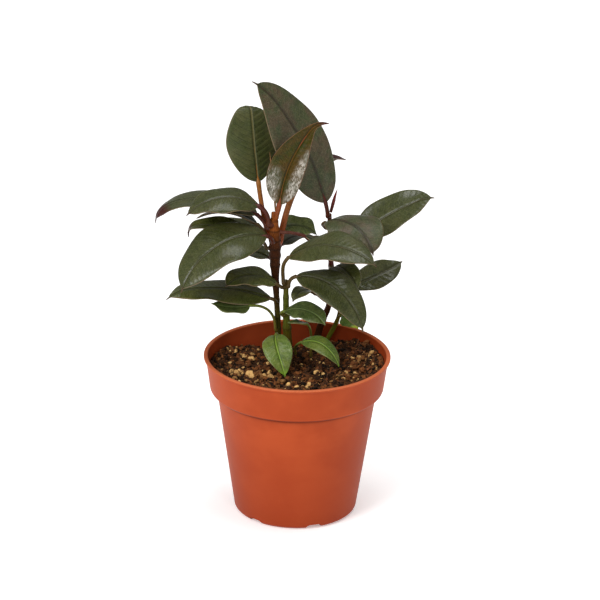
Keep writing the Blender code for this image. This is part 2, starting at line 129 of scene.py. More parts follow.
class Finish:
    """A material under construction: its node tree and its Principled shader."""

    def __init__(self, name, viewport):
        self.material = bpy.data.materials.new(name)
        self.material.use_nodes = True
        self.material.diffuse_color = (*viewport, 1.0)
        self.nodes = self.material.node_tree.nodes
        self.links = self.material.node_tree.links
        self.shader = self.nodes["Principled BSDF"]

    def feed(self, socket, value):
        """Link a value into a socket, or set the socket if it is a plain number or colour."""
        if isinstance(value, Value):
            self.links.new(value.socket, socket)
        elif isinstance(value, tuple) and socket.type == "RGBA":
            socket.default_value = (*value, 1.0)
        else:
            socket.default_value = value

    def add(self, kind, settings=None, inputs=None, output=0):
        """Add any node: its settings first, then its sockets' values or links."""
        node = self.nodes.new(kind)
        for name, setting in (settings or {}).items():
            setattr(node, name, setting)
        for name, value in (inputs or {}).items():
            self.feed(node.inputs[name], value)
        return Value(self, node.outputs[output])

    def place(self):
        """Where a point of the surface is, in millimetres."""
        at = self.add("ShaderNodeTexCoord", output="Object")
        return self.add("ShaderNodeVectorMath", {"operation": "SCALE"}, {0: at, "Scale": 1 / MM})

    def stretch(self, at, by):
        """A place scaled along each axis: mottling runs longest along the axis with the least scale."""
        return self.add("ShaderNodeVectorMath", {"operation": "MULTIPLY"}, {0: at, 1: by})

    def coordinate(self, at, axis):
        """One part of a place: axis 0, 1 or 2 for X, Y or Z."""
        return self.add("ShaderNodeSeparateXYZ", None, {"Vector": at}, output=axis)

    def mottle(self, at, size, detail=4.0, roughness=0.55):
        """Cloudy noise from 0 to 1 with patches of about a size, in millimetres."""
        inputs = {"Vector": at, "Scale": 1 / size, "Detail": detail, "Roughness": roughness}
        return self.add("ShaderNodeTexNoise", None, inputs)

    def ramp(self, value, low, high):
        """0 below low, 1 above high, and smooth between."""
        inputs = {"Value": value, "From Min": low, "From Max": high}
        return self.add("ShaderNodeMapRange", {"interpolation_type": "SMOOTHSTEP"}, inputs)

    def blend(self, share, first, second):
        """A colour that goes from first to second as share goes from 0 to 1."""
        inputs = {"Factor": share, 6: first, 7: second}
        return self.add("ShaderNodeMix", {"data_type": "RGBA"}, inputs, output=2)

    def attribute(self, name, output="Fac"):
        """What a piece's mesh keeps under a name at each point."""
        return self.add("ShaderNodeAttribute", {"attribute_name": name}, output=output)

    def finish(self, constants, **varying):
        """Set the shader's constant sockets, then link what varies over the surface."""
        for name, value in constants.items():
            self.feed(self.shader.inputs[name], value)
        for name, value in varying.items():
            self.feed(self.shader.inputs[name.replace("_", " ").title()], value)
        return self.material

    def bump(self, height, depth):
        """A normal from a height that runs from 0 to 1, at a depth in millimetres."""
        inputs = {"Height": height, "Distance": depth * MM, "Strength": 1.0}
        return self.add("ShaderNodeBump", None, inputs)


def make_piece(name, points, faces, materials, face_material=None, smooth=True):
    """A mesh object from points in millimetres."""
    mesh = bpy.data.meshes.new(name)
    mesh.from_pydata([tuple(point) for point in np.asarray(points, float) * MM], [], faces)
    for one in materials:
        mesh.materials.append(one)
    if face_material is not None:
        mesh.polygons.foreach_set("material_index", np.asarray(face_material, np.int32))
    if smooth:
        mesh.shade_smooth()
    mesh.update()
    piece = bpy.data.objects.new(name, mesh)
    bpy.context.scene.collection.objects.link(piece)
    return piece


def body_radius(z):
    """The body's outer radius at a height."""
    return BODY_BASE_RADIUS + BODY_TAPER * z


def rounded(corners, radius):
    """The outline through corners (r, z), with each inner corner cut to an arc-like fillet."""
    outline = [corners[0]]
    for before, corner, after in zip(corners, corners[1:], corners[2:]):
        before, corner, after = Vector(before), Vector(corner), Vector(after)
        reach = min(radius, 0.45 * (before - corner).length, 0.45 * (after - corner).length)
        start = corner + (before - corner).normalized() * reach
        end = corner + (after - corner).normalized() * reach
        for step in range(FILLET_STEPS + 1):
            t = step / FILLET_STEPS
            outline.append(tuple(start.lerp(corner, t).lerp(corner.lerp(end, t), t)))
    outline.append(corners[-1])
    return outline


def pot_outline():
    """The shell's section, from the floor's underside up the outside and down the inside."""
    ledge = BAND_BOTTOM - BAND_CHAMFER
    lip_bottom = POT_HEIGHT - LIP_DEPTH
    floor_top = FLOOR_UNDERSIDE + WALL
    foot_outside = BODY_BASE_RADIUS - BASE_CHAMFER
    corners = [
        (0.0, 0.0),
        (CENTRE_FOOT_RADIUS, 0.0),
        (CENTRE_FOOT_RADIUS + 0.4, FLOOR_UNDERSIDE),
        (foot_outside - FOOT_RING_WIDTH, FLOOR_UNDERSIDE),
        (foot_outside - FOOT_RING_WIDTH, 0.0),
        (foot_outside, 0.0),
        (body_radius(BASE_CHAMFER), BASE_CHAMFER),
        (body_radius(BODY_MIDDLE), BODY_MIDDLE),
        (body_radius(ledge), ledge),
        (BAND_BOTTOM_RADIUS - BAND_CHAMFER, ledge),
        (BAND_BOTTOM_RADIUS, BAND_BOTTOM),
        (BAND_TOP_RADIUS, lip_bottom),
        (LIP_RADIUS, lip_bottom + 0.3),
        (LIP_RADIUS, POT_HEIGHT - 0.2),
        (LIP_RADIUS - 0.9, POT_HEIGHT),
        (BAND_TOP_RADIUS - WALL + 0.2, POT_HEIGHT),
        (BAND_TOP_RADIUS - WALL, lip_bottom),
        (BAND_BOTTOM_RADIUS - WALL, BAND_BOTTOM + 1.0),
        (body_radius(ledge) - WALL, ledge - 0.5),
        (body_radius(BODY_MIDDLE) - WALL, BODY_MIDDLE),
        (body_radius(floor_top) - WALL, floor_top),
        (0.0, floor_top),
    ]
    return rounded(corners, CORNER_FILLET)


def turned_points(outline, sides):
    """Points and faces of an outline turned once round the Z axis, closed at the axis."""
    points = []
    faces = []
    rows = len(outline) - 2
    for side in range(sides):
        angle = 2 * pi * side / sides
        points += [(r * cos(angle), r * sin(angle), z) for r, z in outline[1:-1]]
    for side in range(sides):
        here, there = side * rows, (side + 1) % sides * rows
        faces += [(here + i, there + i, there + i + 1, here + i + 1) for i in range(rows - 1)]
    first, last = len(points), len(points) + 1
    points += [(0.0, 0.0, outline[0][1]), (0.0, 0.0, outline[-1][1])]
    for side in range(sides):
        here, there = side * rows, (side + 1) % sides * rows
        faces.append((first, there, here))
        faces.append((last, here + rows - 1, there + rows - 1))
    return points, faces


def cutter_of_prisms(name, ends):
    """Closed prisms in one mesh, each given by the two loops of points at its ends."""
    points = []
    faces = []
    for first, second in ends:
        start, count = len(points), len(first)
        points += first + second
        faces.append(tuple(start + i for i in range(count)))
        faces.append(tuple(start + count + i for i in reversed(range(count))))
        for i in range(count):
            j = (i + 1) % count
            faces.append((start + j, start + i, start + count + i, start + count + j))
    return make_piece(name, points, faces, [])


def foot_gap(azimuth):
    """The two ends of a rounded wedge that parts the base ring between two feet."""
    half = radians(GAP_ARC / 2)
    arch = []
    for step in range(FOOT_GAP_STEPS + 1):
        across = -1 + step / (FOOT_GAP_STEPS / 2)
        height = FOOT_GAP_HEIGHT * (1 - abs(across) ** FOOT_GAP_SQUARENESS) if abs(across) < 1 else 0.0
        arch.append((azimuth + across * half, height))
    arch += [(azimuth + half, CUT_BELOW), (azimuth - half, CUT_BELOW)]
    return [[(radius * cos(a), radius * sin(a), z) for a, z in arch] for radius in FOOT_GAP_REACH]


def drain_hole(azimuth):
    """The two ends of a round peg where a drain hole goes through the floor."""
    x, y = DRAIN_HOLE_RING * cos(azimuth), DRAIN_HOLE_RING * sin(azimuth)
    turn = [2 * pi * side / DRAIN_HOLE_SIDES for side in range(DRAIN_HOLE_SIDES)]
    rim = [(x + DRAIN_HOLE_RADIUS * cos(a), y + DRAIN_HOLE_RADIUS * sin(a)) for a in turn]
    return [[(*point, z) for point in rim] for z in DRAIN_HOLE_SPAN]


def terracotta_polypropylene():
    """Satin moulded plastic: faint flow marks round the wall, scuffs, dust and a fine mould texture, with
    painted shade low down and under the ledge and a painted highlight on the lip.
    """
    f = Finish("terracotta_polypropylene", (0.55, 0.11, 0.04))
    at = f.place()
    stretched = f.stretch(at, (0.25, 0.25, 1.0))
    clouds = f.mottle(at, 30.0, detail=3.0)
    flow = f.mottle(stretched, 5.0, detail=5.0)
    dust = f.ramp(f.mottle(at, 2.2, detail=8.0, roughness=0.75), 0.56, 0.80)
    scuffs = f.ramp(f.mottle(stretched, 1.1, detail=6.0, roughness=0.7), 0.66, 0.78)
    height = f.coordinate(at, 2)
    colour = f.blend(f.ramp(clouds, 0.35, 0.65), (0.358, 0.052, 0.012), (0.428, 0.069, 0.017))
    # Painted shade: the wall darker towards the bottom, where less light reaches it.
    colour = f.blend((1.0 - f.ramp(height, 5.0, 80.0)) * 0.6, colour, (0.256, 0.033, 0.008))
    colour = f.blend(flow * 0.4, colour, (0.300, 0.036, 0.005))
    # Painted shadow: a dark band just under the upper band's ledge, where its shadow falls.
    below_band = f.ramp(height, BAND_BOTTOM - 4.2, BAND_BOTTOM - 1.8)
    ledge_shadow = below_band * (1.0 - f.ramp(height, BAND_BOTTOM - 1.1, BAND_BOTTOM - 0.1))
    colour = f.blend(ledge_shadow * 0.85, colour, (0.075, 0.008, 0.002))
    # Painted highlight: the top of the lip lighter, where light catches its rounded edge.
    lip_highlight = f.ramp(height, POT_HEIGHT - 1.0, POT_HEIGHT - 0.1)
    colour = f.blend(lip_highlight * 0.6, colour, (0.60, 0.17, 0.07))
    colour = f.blend(dust * 0.12, colour, (0.50, 0.15, 0.06))
    colour = f.blend(scuffs * 0.22, colour, (0.54, 0.14, 0.05))
    grain = f.mottle(at, 0.35, detail=3.0)
    return f.finish(
        {"Specular IOR Level": 0.10, "Subsurface Weight": 0.0},
        base_color=colour,
        roughness=0.46 + clouds * 0.10 + dust * 0.12,
        normal=f.bump(grain, 0.02),
    )


points, faces = turned_points(pot_outline(), POT_SIDES)
terracotta = terracotta_polypropylene()
pot = make_piece("nursery_pot", points, faces, [terracotta])
azimuths = [radians(FIRST_GAP_AZIMUTH + index * 360 / FOOT_COUNT) for index in range(FOOT_COUNT)]
for cutter in (
    cutter_of_prisms("foot_gap_cutter", [foot_gap(azimuth) for azimuth in azimuths]),
    cutter_of_prisms("drain_hole_cutter", [drain_hole(azimuth) for azimuth in azimuths]),
):
    cut = pot.modifiers.new(cutter.name, "BOOLEAN")
    cut.operation = "DIFFERENCE"
    cut.solver = "EXACT"
    cut.object = cutter
    bpy.context.view_layer.update()
    seen = bpy.context.evaluated_depsgraph_get()
    cut_mesh = bpy.data.meshes.new_from_object(pot.evaluated_get(seen))
    pot.modifiers.clear()
    pot.data = cut_mesh
    bpy.data.objects.remove(cutter, do_unlink=True)
pot.data.shade_smooth()
pot.data.set_sharp_from_angle(angle=radians(40))
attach(pot, "root")
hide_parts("pot")


# Potting mix
# Moist peat, fine bark and fibre, pressed down by hand a little below the lip. It is sunk against
# the back of the wall and heaped at the back right.

MIX_LEVEL = 89.5
# A rounded hollow and heap: where the middle is, how far each way it spreads, and how far it rises.
HOLLOW = dict(x=-9.0, y=50.0, wide=24.0, deep=16.0, rise=-11.0)
HEAP = dict(x=40.0, y=32.0, wide=12.0, deep=12.0, rise=2.5)
MIX_SIDES = 210
MIX_RINGS = 72
MIX_CLEARANCE = 0.3         # between the mix and the pot's wall and floor


def swell_at(x, y, shape):
    """How much a rounded heap or hollow lifts the level at (x, y)."""
    across = (x - shape["x"]) / shape["wide"]
    along = (y - shape["y"]) / shape["deep"]
    return shape["rise"] * exp(-0.5 * (across ** 2 + along ** 2))


def mix_height(x, y):
    """The mix's general level at (x, y), as pressed down by hand."""
    lump = noise.noise(Vector((x, y, 0.0)) * 0.12) * 0.9
    return MIX_LEVEL + swell_at(x, y, HOLLOW) + swell_at(x, y, HEAP) + lump


def crumbly_height(x, y):
    """The same level with its clods, pits and crumbs."""
    clods = noise.turbulence(Vector((x, y, 3.0)) * 0.16, 3, False) - 0.55
    crumbs = noise.noise(Vector((x, y, 7.0)) * 0.55)
    fine = noise.noise(Vector((x, y, 11.0)) * 1.3)
    return mix_height(x, y) + 1.5 * clods + 0.55 * crumbs + 0.3 * fine


def band_inside(z):
    """The upper band's inner radius at a height."""
    low = BAND_BOTTOM + 1.0
    share = (z - low) / (POT_HEIGHT - LIP_DEPTH - low)
    return BAND_BOTTOM_RADIUS - WALL + share * (BAND_TOP_RADIUS - BAND_BOTTOM_RADIUS)


def peat_and_bark():
    """Dark moist peat with rusty bark crumbs, black pits and a few pale specks."""
    f = Finish("peat_and_bark", (0.10, 0.05, 0.03))
    at = f.place()
    crumbs = f.mottle(at, 1.6, detail=6.0, roughness=0.7)
    clods = f.mottle(at, 6.0, detail=3.0)
    pale = f.ramp(f.mottle(at, 0.9, detail=3.0, roughness=0.6), 0.66, 0.74)
    colour = f.blend(f.ramp(crumbs, 0.38, 0.62), (0.007, 0.003, 0.0015), (0.115, 0.040, 0.012))
    colour = f.blend(f.ramp(clods, 0.45, 0.7) * 0.6, colour, (0.040, 0.018, 0.007))
    colour = f.blend(pale * 0.6, colour, (0.36, 0.20, 0.09))
    return f.finish(
        {"Specular IOR Level": 0.2},
        base_color=colour,
        roughness=0.62 + crumbs * 0.3,
        normal=f.bump(f.mottle(at, 0.8, detail=5.0, roughness=0.75), 0.5),
    )


ledge = BAND_BOTTOM - BAND_CHAMFER
floor_top = FLOOR_UNDERSIDE + WALL + MIX_CLEARANCE
top_radius = band_inside(MIX_LEVEL)
outline = [
    (0.0, floor_top),
    (body_radius(floor_top) - WALL - MIX_CLEARANCE, floor_top),
    (body_radius(ledge) - WALL - MIX_CLEARANCE, ledge - 0.2),
    (BAND_BOTTOM_RADIUS - WALL - 2 * MIX_CLEARANCE, BAND_BOTTOM + 1.6),
]
outline += [(top_radius * (1 - ring / MIX_RINGS), MIX_LEVEL) for ring in range(MIX_RINGS + 1)]
points, faces = turned_points(outline, MIX_SIDES)
raised = []
for x, y, z in points:
    if z > MIX_LEVEL - 1:
        height = crumbly_height(x, y)
        shrink = (band_inside(height) - 0.2) / top_radius
        raised.append((x * shrink, y * shrink, height))
    else:
        raised.append((x, y, z))
potting_mix = make_piece("potting_mix_surface", raised, faces, [peat_and_bark()])
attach(potting_mix, "root")
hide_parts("potting_mix")


# Crumbs on the mix
# Loose peat lumps, flat bark chips, pale pumice grit and hair roots that lie on the surface, each kind
# one piece. They are what the mix is made of, left where they fell.

CRUMB_SEED = 11
CRUMB_CLEARANCE = 0.4       # between a crumb and the pot's wall
PEAT_LUMPS = 2200
BARK_CHIPS = 420
GRIT_SPECKS = 520
ROOT_FIBRES = 380
FIBRE_SIDES = 5
FIBRE_STEPS = 9
FIBRE_WANDER = 0.35
rng = np.random.default_rng(CRUMB_SEED)


def ball(detail):
    """Directions and triangles of a round ball to be knocked into a crumb."""
    bm = bmesh.new()
    bmesh.ops.create_icosphere(bm, subdivisions=detail, radius=1.0)
    directions = np.array([vert.co[:] for vert in bm.verts])
    triangles = [tuple(vert.index for vert in face.verts) for face in bm.faces]
    bm.free()
    return directions, triangles


def knocked(directions, lumpiness):
    """A ball's directions pushed in and out along a few random axes."""
    reach = np.ones(len(directions))
    for frequency in (2.0, 3.5, 6.0):
        axis = rng.normal(size=3)
        axis /= np.linalg.norm(axis)
        reach += lumpiness / frequency * 2 * np.sin(frequency * directions @ axis + rng.uniform(0, 2 * pi))
    return directions * reach[:, None]


def turned_any_way(flat):
    """A random rotation that keeps a crumb's short side within a tilt of upright."""
    spin = rng.uniform(0, 2 * pi)
    tilt = rng.normal(0, flat)
    lean = rng.uniform(0, 2 * pi)
    about_z = np.array([[cos(spin), -sin(spin), 0], [sin(spin), cos(spin), 0], [0, 0, 1]])
    axis = np.array([cos(lean), sin(lean), 0.0])
    cross = np.array([[0, 0, axis[1]], [0, 0, -axis[0]], [-axis[1], axis[0], 0]])
    return (np.eye(3) + sin(tilt) * cross + (1 - cos(tilt)) * cross @ cross) @ about_z


def spots(count, reach):
    """Random spots inside the pot's mouth, no further than reach from its middle."""
    radius = reach * np.sqrt(rng.uniform(0, 1, count))
    angle = rng.uniform(0, 2 * pi, count)
    return [(r * cos(a), r * sin(a)) for r, a in zip(radius, angle)]


def mark_points(piece, label, values):
    """Keep a number at each point of a piece for its finish to read."""
    marks = piece.data.attributes.new(label, "FLOAT", "POINT")
    marks.data.foreach_set("value", np.array(values, np.float32))


def heap_of_crumbs(name, places, sizes, shape, lumpiness, tilt, sink, finish, detail=2):
    """One piece of many crumbs: shape is a crumb's length, width and thickness for size 1."""
    directions, triangles = ball(detail)
    points = []
    faces = []
    tones = []
    for (x, y), size in zip(places, sizes):
        lump = knocked(directions, lumpiness)
        body = lump * (np.array(shape) * rng.uniform(0.75, 1.25, 3) * size / 2)
        body = body @ turned_any_way(tilt).T
        radius = float(np.hypot(x, y))
        room = band_inside(mix_height(x, y)) - CRUMB_CLEARANCE - float(np.abs(body[:, :2]).max())
        if radius > room:
            x, y = x * room / radius, y * room / radius
        height = crumbly_height(x, y) + size * shape[2] * (0.5 - sink)
        start = len(points)
        points += list(body + (x, y, height))
        faces += [tuple(start + i for i in triangle) for triangle in triangles]
        tones += [rng.uniform()] * len(body)
    piece = make_piece(name, points, faces, [finish], smooth=False)
    mark_points(piece, "tone", tones)
    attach(piece, "root")


def crumb_finish(name, dark, light, pale, roughness, grain, depth):
    """One kind of crumb, each with a tone of its own between dark and light, and pale worn specks."""
    f = Finish(name, light)
    at = f.place()
    tone = f.attribute("tone")
    cloud = f.mottle(at, grain, detail=5.0, roughness=0.65)
    speck = f.ramp(f.mottle(at, grain * 0.4, detail=3.0), 0.60, 0.75)
    colour = f.blend(f.ramp(tone * 0.7 + cloud * 0.5, 0.35, 0.95), dark, light)
    colour = f.blend(speck * 0.5, colour, pale)
    return f.finish(
        {"Specular IOR Level": 0.15},
        base_color=colour,
        roughness=roughness + cloud * 0.2,
        normal=f.bump(cloud, depth),
    )


peat = crumb_finish("peat_lump", (0.010, 0.005, 0.0025), (0.210, 0.072, 0.020), (0.42, 0.20, 0.07),
                    roughness=0.7, grain=0.6, depth=0.4)
places = spots(PEAT_LUMPS, 49.5)
sizes = 0.6 + 2.0 * rng.uniform(0, 1, PEAT_LUMPS) ** 2
heap_of_crumbs("peat_lumps", places, sizes, (1.4, 0.9, 0.8), 0.55, tilt=0.7, sink=0.15, finish=peat)
bark = crumb_finish("bark_chip", (0.030, 0.010, 0.005), (0.19, 0.065, 0.022), (0.42, 0.22, 0.10),
                    roughness=0.6, grain=1.2, depth=0.2)
places = spots(BARK_CHIPS, 48.0)
sizes = rng.uniform(0.9, 3.0, BARK_CHIPS)
heap_of_crumbs("bark_chips", places, sizes, (1.9, 0.55, 0.25), 0.35, tilt=0.7, sink=-0.2, finish=bark)

# Where the larger grit lies in drifts: (x, y, spread, grains, greatest size).
GRIT_DRIFTS = [
    (-30, 8, 3.2, 7, 4.6),
    (-38, -16, 3.5, 8, 3.6),
    (-30, -22, 4.0, 14, 4.6),
    (-22, -22, 3.5, 9, 4.2),
    (-12, -20, 2.6, 5, 4.6),
    (-6, -29, 1.6, 3, 6.0),
    (14, -14, 1.2, 2, 5.8),
    (36, 6, 3.2, 9, 3.8),
    (40, 14, 2.0, 3, 3.4),
    (34, -6, 2.6, 4, 3.6),
    (28, -17, 3.0, 5, 3.0),
    (6, -26, 3.0, 5, 2.8),
]
places = spots(GRIT_SPECKS, 48.5)
sizes = list(0.45 + 1.3 * rng.uniform(0, 1, GRIT_SPECKS) ** 3)
for x, y, spread, grains, greatest in GRIT_DRIFTS:
    for _ in range(grains):
        places.append((x + rng.normal(0, spread * 1.3), y + rng.normal(0, spread * 1.2)))
        sizes.append(greatest * rng.uniform(0.35, 0.82))
grit = crumb_finish("pumice_grit", (0.16, 0.060, 0.014), (0.84, 0.50, 0.18), (1.0, 0.82, 0.50),
                    roughness=0.7, grain=0.5, depth=0.6)
heap_of_crumbs("grit_grains", places, sizes, (1.15, 0.95, 0.85), 0.42, tilt=0.8, sink=0.05, finish=grit,
               detail=3)


def strand(start, heading, length, thickness):
    """Rings of a thin bent root that lies along the mix."""
    x, y = start
    rings = []
    turn = [2 * pi * side / FIBRE_SIDES for side in range(FIBRE_SIDES)]
    for step in range(FIBRE_STEPS):
        radius = thickness / 2 * (0.35 if step in (0, FIBRE_STEPS - 1) else 1.0)
        z = crumbly_height(x, y) + 0.35 + 0.9 * sin(pi * step / (FIBRE_STEPS - 1)) * FIBRE_WANDER
        across, up = np.array([-sin(heading), cos(heading), 0.0]), np.array([0, 0, 1])
        rings.append([np.array([x, y, z]) + radius * (across * cos(a) + up * sin(a)) for a in turn])
        x += length / FIBRE_STEPS * cos(heading)
        y += length / FIBRE_STEPS * sin(heading)
        heading += rng.normal(0, FIBRE_WANDER)
    return rings


def skin(rings):
    """Points and faces that join equal rings of points into a tube, closed at both ends."""
    count = len(rings[0])
    points = [point for ring in rings for point in ring]
    faces = []
    for row in range(len(rings) - 1):
        for i in range(count):
            j = (i + 1) % count
            faces.append((row * count + i, row * count + j, (row + 1) * count + j, (row + 1) * count + i))
    faces.append(tuple(reversed(range(count))))
    faces.append(tuple((len(rings) - 1) * count + i for i in range(count)))
    return points, faces


points = []
faces = []
for place in spots(ROOT_FIBRES, 44.0):
    length = rng.uniform(2.5, 11.0)
    more, joined = skin(strand(place, rng.uniform(0, 2 * pi), length, rng.uniform(0.18, 0.42)))
    faces += [tuple(len(points) + i for i in face) for face in joined]
    points += more
fibre = crumb_finish("root_fibre", (0.10, 0.045, 0.02), (0.30, 0.17, 0.08), (0.5, 0.33, 0.18),
                     roughness=0.6, grain=2.0, depth=0.1)
root_fibres = make_piece("root_fibres", points, faces, [fibre])
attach(root_fibres, "root")


# Stems
# The thick maroon-brown main stem, a slimmer olive one beside it, a wine-red one behind and its green
# side shoot, all rooted in the mix. They are young wood, ringed where leaves grow or bud sheaths fell.

# Each stem: points (x, y, z, radius) up its middle, from the mix to its end.
STEM_ROUTES = {
    "main_stem": [(-11, 15, 89.8, 2.1), (-11.2, 15, 105, 1.7), (-12.4, 14, 125, 1.7),
                  (-13.4, 13.5, 141, 2.5), (-13.6, 13, 154, 3.6), (-13.8, 12.5, 166, 3.2),
                  (-14.5, 12, 178, 1.5)],
    "green_stem": [(-5.2, 12.5, 90.0, 2.7), (-6.0, 11.5, 105, 2.5), (-7, 9.5, 122, 1.8),
                   (-7, 7.5, 138, 1.4)],
    "rear_stem": [(10.8, 43.3, 84.5, 2.2), (12, 43, 90, 2.2), (14, 42, 98, 2.1), (19.5, 38, 113, 1.7),
                  (19, 31, 139, 1.6), (18, 27, 158, 1.5), (17.5, 25, 172.5, 1.3)],
    "side_shoot": [(17.4, 43.6, 86.2, 1.4), (19.2, 43, 90, 1.4), (23.2, 41, 99, 1.3), (25, 38, 109, 1.1),
                   (24, 35, 121, 0.9)],
}
STEM_SIDES = 28
STEM_STEP = 0.6
ROOTED_DEPTH = 2.5          # how far a stem runs on down into the mix
JOINT_LINE = 0.55           # half height of the dark line round a joint
JOINT_SWELL = 1.5           # half height of its swelling


def along_route(route, step_length):
    """Points (x, y, z, radius) along a stem, curving smoothly past its route's inner points."""
    route = [np.array(point, float) for point in route]
    middles = [route[0]] + [(a + b) / 2 for a, b in zip(route[1:-2], route[2:-1])] + [route[-1]]
    centreline = []
    for start, corner, end in zip(middles, route[1:-1], middles[1:]):
        steps = max(4, int(np.linalg.norm(end - start) / step_length))
        for step in range(steps):
            t = step / steps
            centreline.append((1 - t) ** 2 * start + 2 * t * (1 - t) * corner + t ** 2 * end)
    centreline.append(route[-1])
    return centreline


def level_ring(centre, along, radius, sides):
    """A ring of points square to a direction."""
    along = np.array(along, float) / np.linalg.norm(along)
    side = np.cross(along, (0.0, 1.0, 0.0))
    side /= np.linalg.norm(side)
    other = np.cross(side, along)
    turn = [2 * pi * i / sides for i in range(sides)]
    return [np.array(centre) + radius * (side * cos(a) + other * sin(a)) for a in turn]


def stem_bark(name, low, high, crown, ring, speckle, gloss):
    """Young bark: fine lengthwise cracks, joint rings, small pale pores, a softer colour at the crown."""
    f = Finish(name, high)
    at = f.place()
    cracks = f.mottle(f.stretch(at, (1.0, 1.0, 0.16)), 0.45, detail=5.0, roughness=0.7)
    cloud = f.mottle(at, 5.0)
    pores = f.ramp(f.mottle(at, 0.8, detail=1.0), 0.66, 0.72)
    joint = f.attribute("joint")
    age = f.attribute("age")
    colour = f.blend(f.ramp(age, 0.15, 0.55), low, high)
    colour = f.blend(f.ramp(age, 0.74, 0.95), colour, crown)
    colour = f.blend(f.ramp(cracks, 0.45, 0.62) * 0.45, colour, ring)
    colour = f.blend(f.ramp(cloud, 0.5, 0.75) * 0.4, colour, ring)
    colour = f.blend(joint * 0.7, colour, ring)
    colour = f.blend(pores * 0.6, colour, speckle)
    return f.finish(
        {"Specular IOR Level": 0.10, "Subsurface Weight": 0.0},
        base_color=colour,
        roughness=gloss + cracks * 0.25,
        normal=f.bump(cracks * 0.7 + pores * 0.5, 0.16),
    )


maroon_bark = stem_bark("maroon_bark", (0.054, 0.052, 0.004), (0.056, 0.014, 0.002), (0.27, 0.070, 0.009),
                        (0.016, 0.006, 0.002), (0.13, 0.050, 0.015), 0.42)
olive_bark = stem_bark("olive_bark", (0.100, 0.068, 0.004), (0.078, 0.098, 0.008), (0.080, 0.060, 0.010),
                       (0.045, 0.028, 0.004), (0.22, 0.20, 0.05), 0.40)
wine_bark = stem_bark("wine_bark", (0.070, 0.024, 0.006), (0.062, 0.011, 0.006), (0.10, 0.014, 0.007),
                      (0.022, 0.006, 0.003), (0.14, 0.05, 0.025), 0.40)
lime_bark = stem_bark("lime_bark", (0.20, 0.22, 0.016), (0.130, 0.080, 0.006), (0.085, 0.060, 0.006),
                      (0.10, 0.085, 0.012), (0.30, 0.30, 0.08), 0.38)

# Stem: (finish, slot, heights of its joints).
STEM_FINISHES = {
    "main_stem": (maroon_bark, "maroon_stem", (96, 105, 112, 123, 133, 145, 151, 156, 161, 167, 173)),
    "green_stem": (olive_bark, "green_stem", (97, 107, 116, 127, 134)),
    "rear_stem": (wine_bark, "green_stem", (99, 113, 126, 138, 151, 164)),
    "side_shoot": (lime_bark, "green_stem", (98, 108, 115)),
}
for name, (bark_finish, slot, joints) in STEM_FINISHES.items():
    route = STEM_ROUTES[name]
    foot = np.array(route[0], float) - (0, 0, ROOTED_DEPTH, 0)
    centreline = along_route([foot] + list(route), STEM_STEP)
    rings = []
    ages = []
    joint_marks = []
    for row, (x, y, z, radius) in enumerate(centreline):
        before = centreline[max(row - 1, 0)]
        after = centreline[min(row + 1, len(centreline) - 1)]
        mark = max(exp(-(((z - height) / JOINT_LINE) ** 2)) for height in joints)
        swell = max(exp(-(((z - height) / JOINT_SWELL) ** 2)) for height in joints)
        uneven = 0.05 * noise.noise(Vector((x, y, z)) * 0.25)
        full = radius * (0.96 + 0.13 * swell + uneven)
        rings.append(level_ring((x, y, z), (after - before)[:3], full, STEM_SIDES))
        ages += [(z - route[0][2]) / (route[-1][2] - route[0][2])] * STEM_SIDES
        joint_marks += [mark] * STEM_SIDES
    tip = centreline[-1]
    for share, rise in ((0.8, 0.25), (0.45, 0.45)):
        rings.append(level_ring(tip[:3] + (0, 0, rise), (0, 0, 1), tip[3] * share, STEM_SIDES))
        ages += [1.0] * STEM_SIDES
        joint_marks += [0.0] * STEM_SIDES
    points, faces = skin(rings)
    stem = make_piece(name + "_bark", points, faces, [bark_finish])
    mark_points(stem, "age", ages)
    mark_points(stem, "joint", joint_marks)
    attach(stem, "root")
    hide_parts(name)


# Leaves
# Thick leathery blades on round stalks, each stalk growing out of its stem. The stalk runs on under the
# blade as the midrib, and fine side veins leave it all the way to the drip tip.

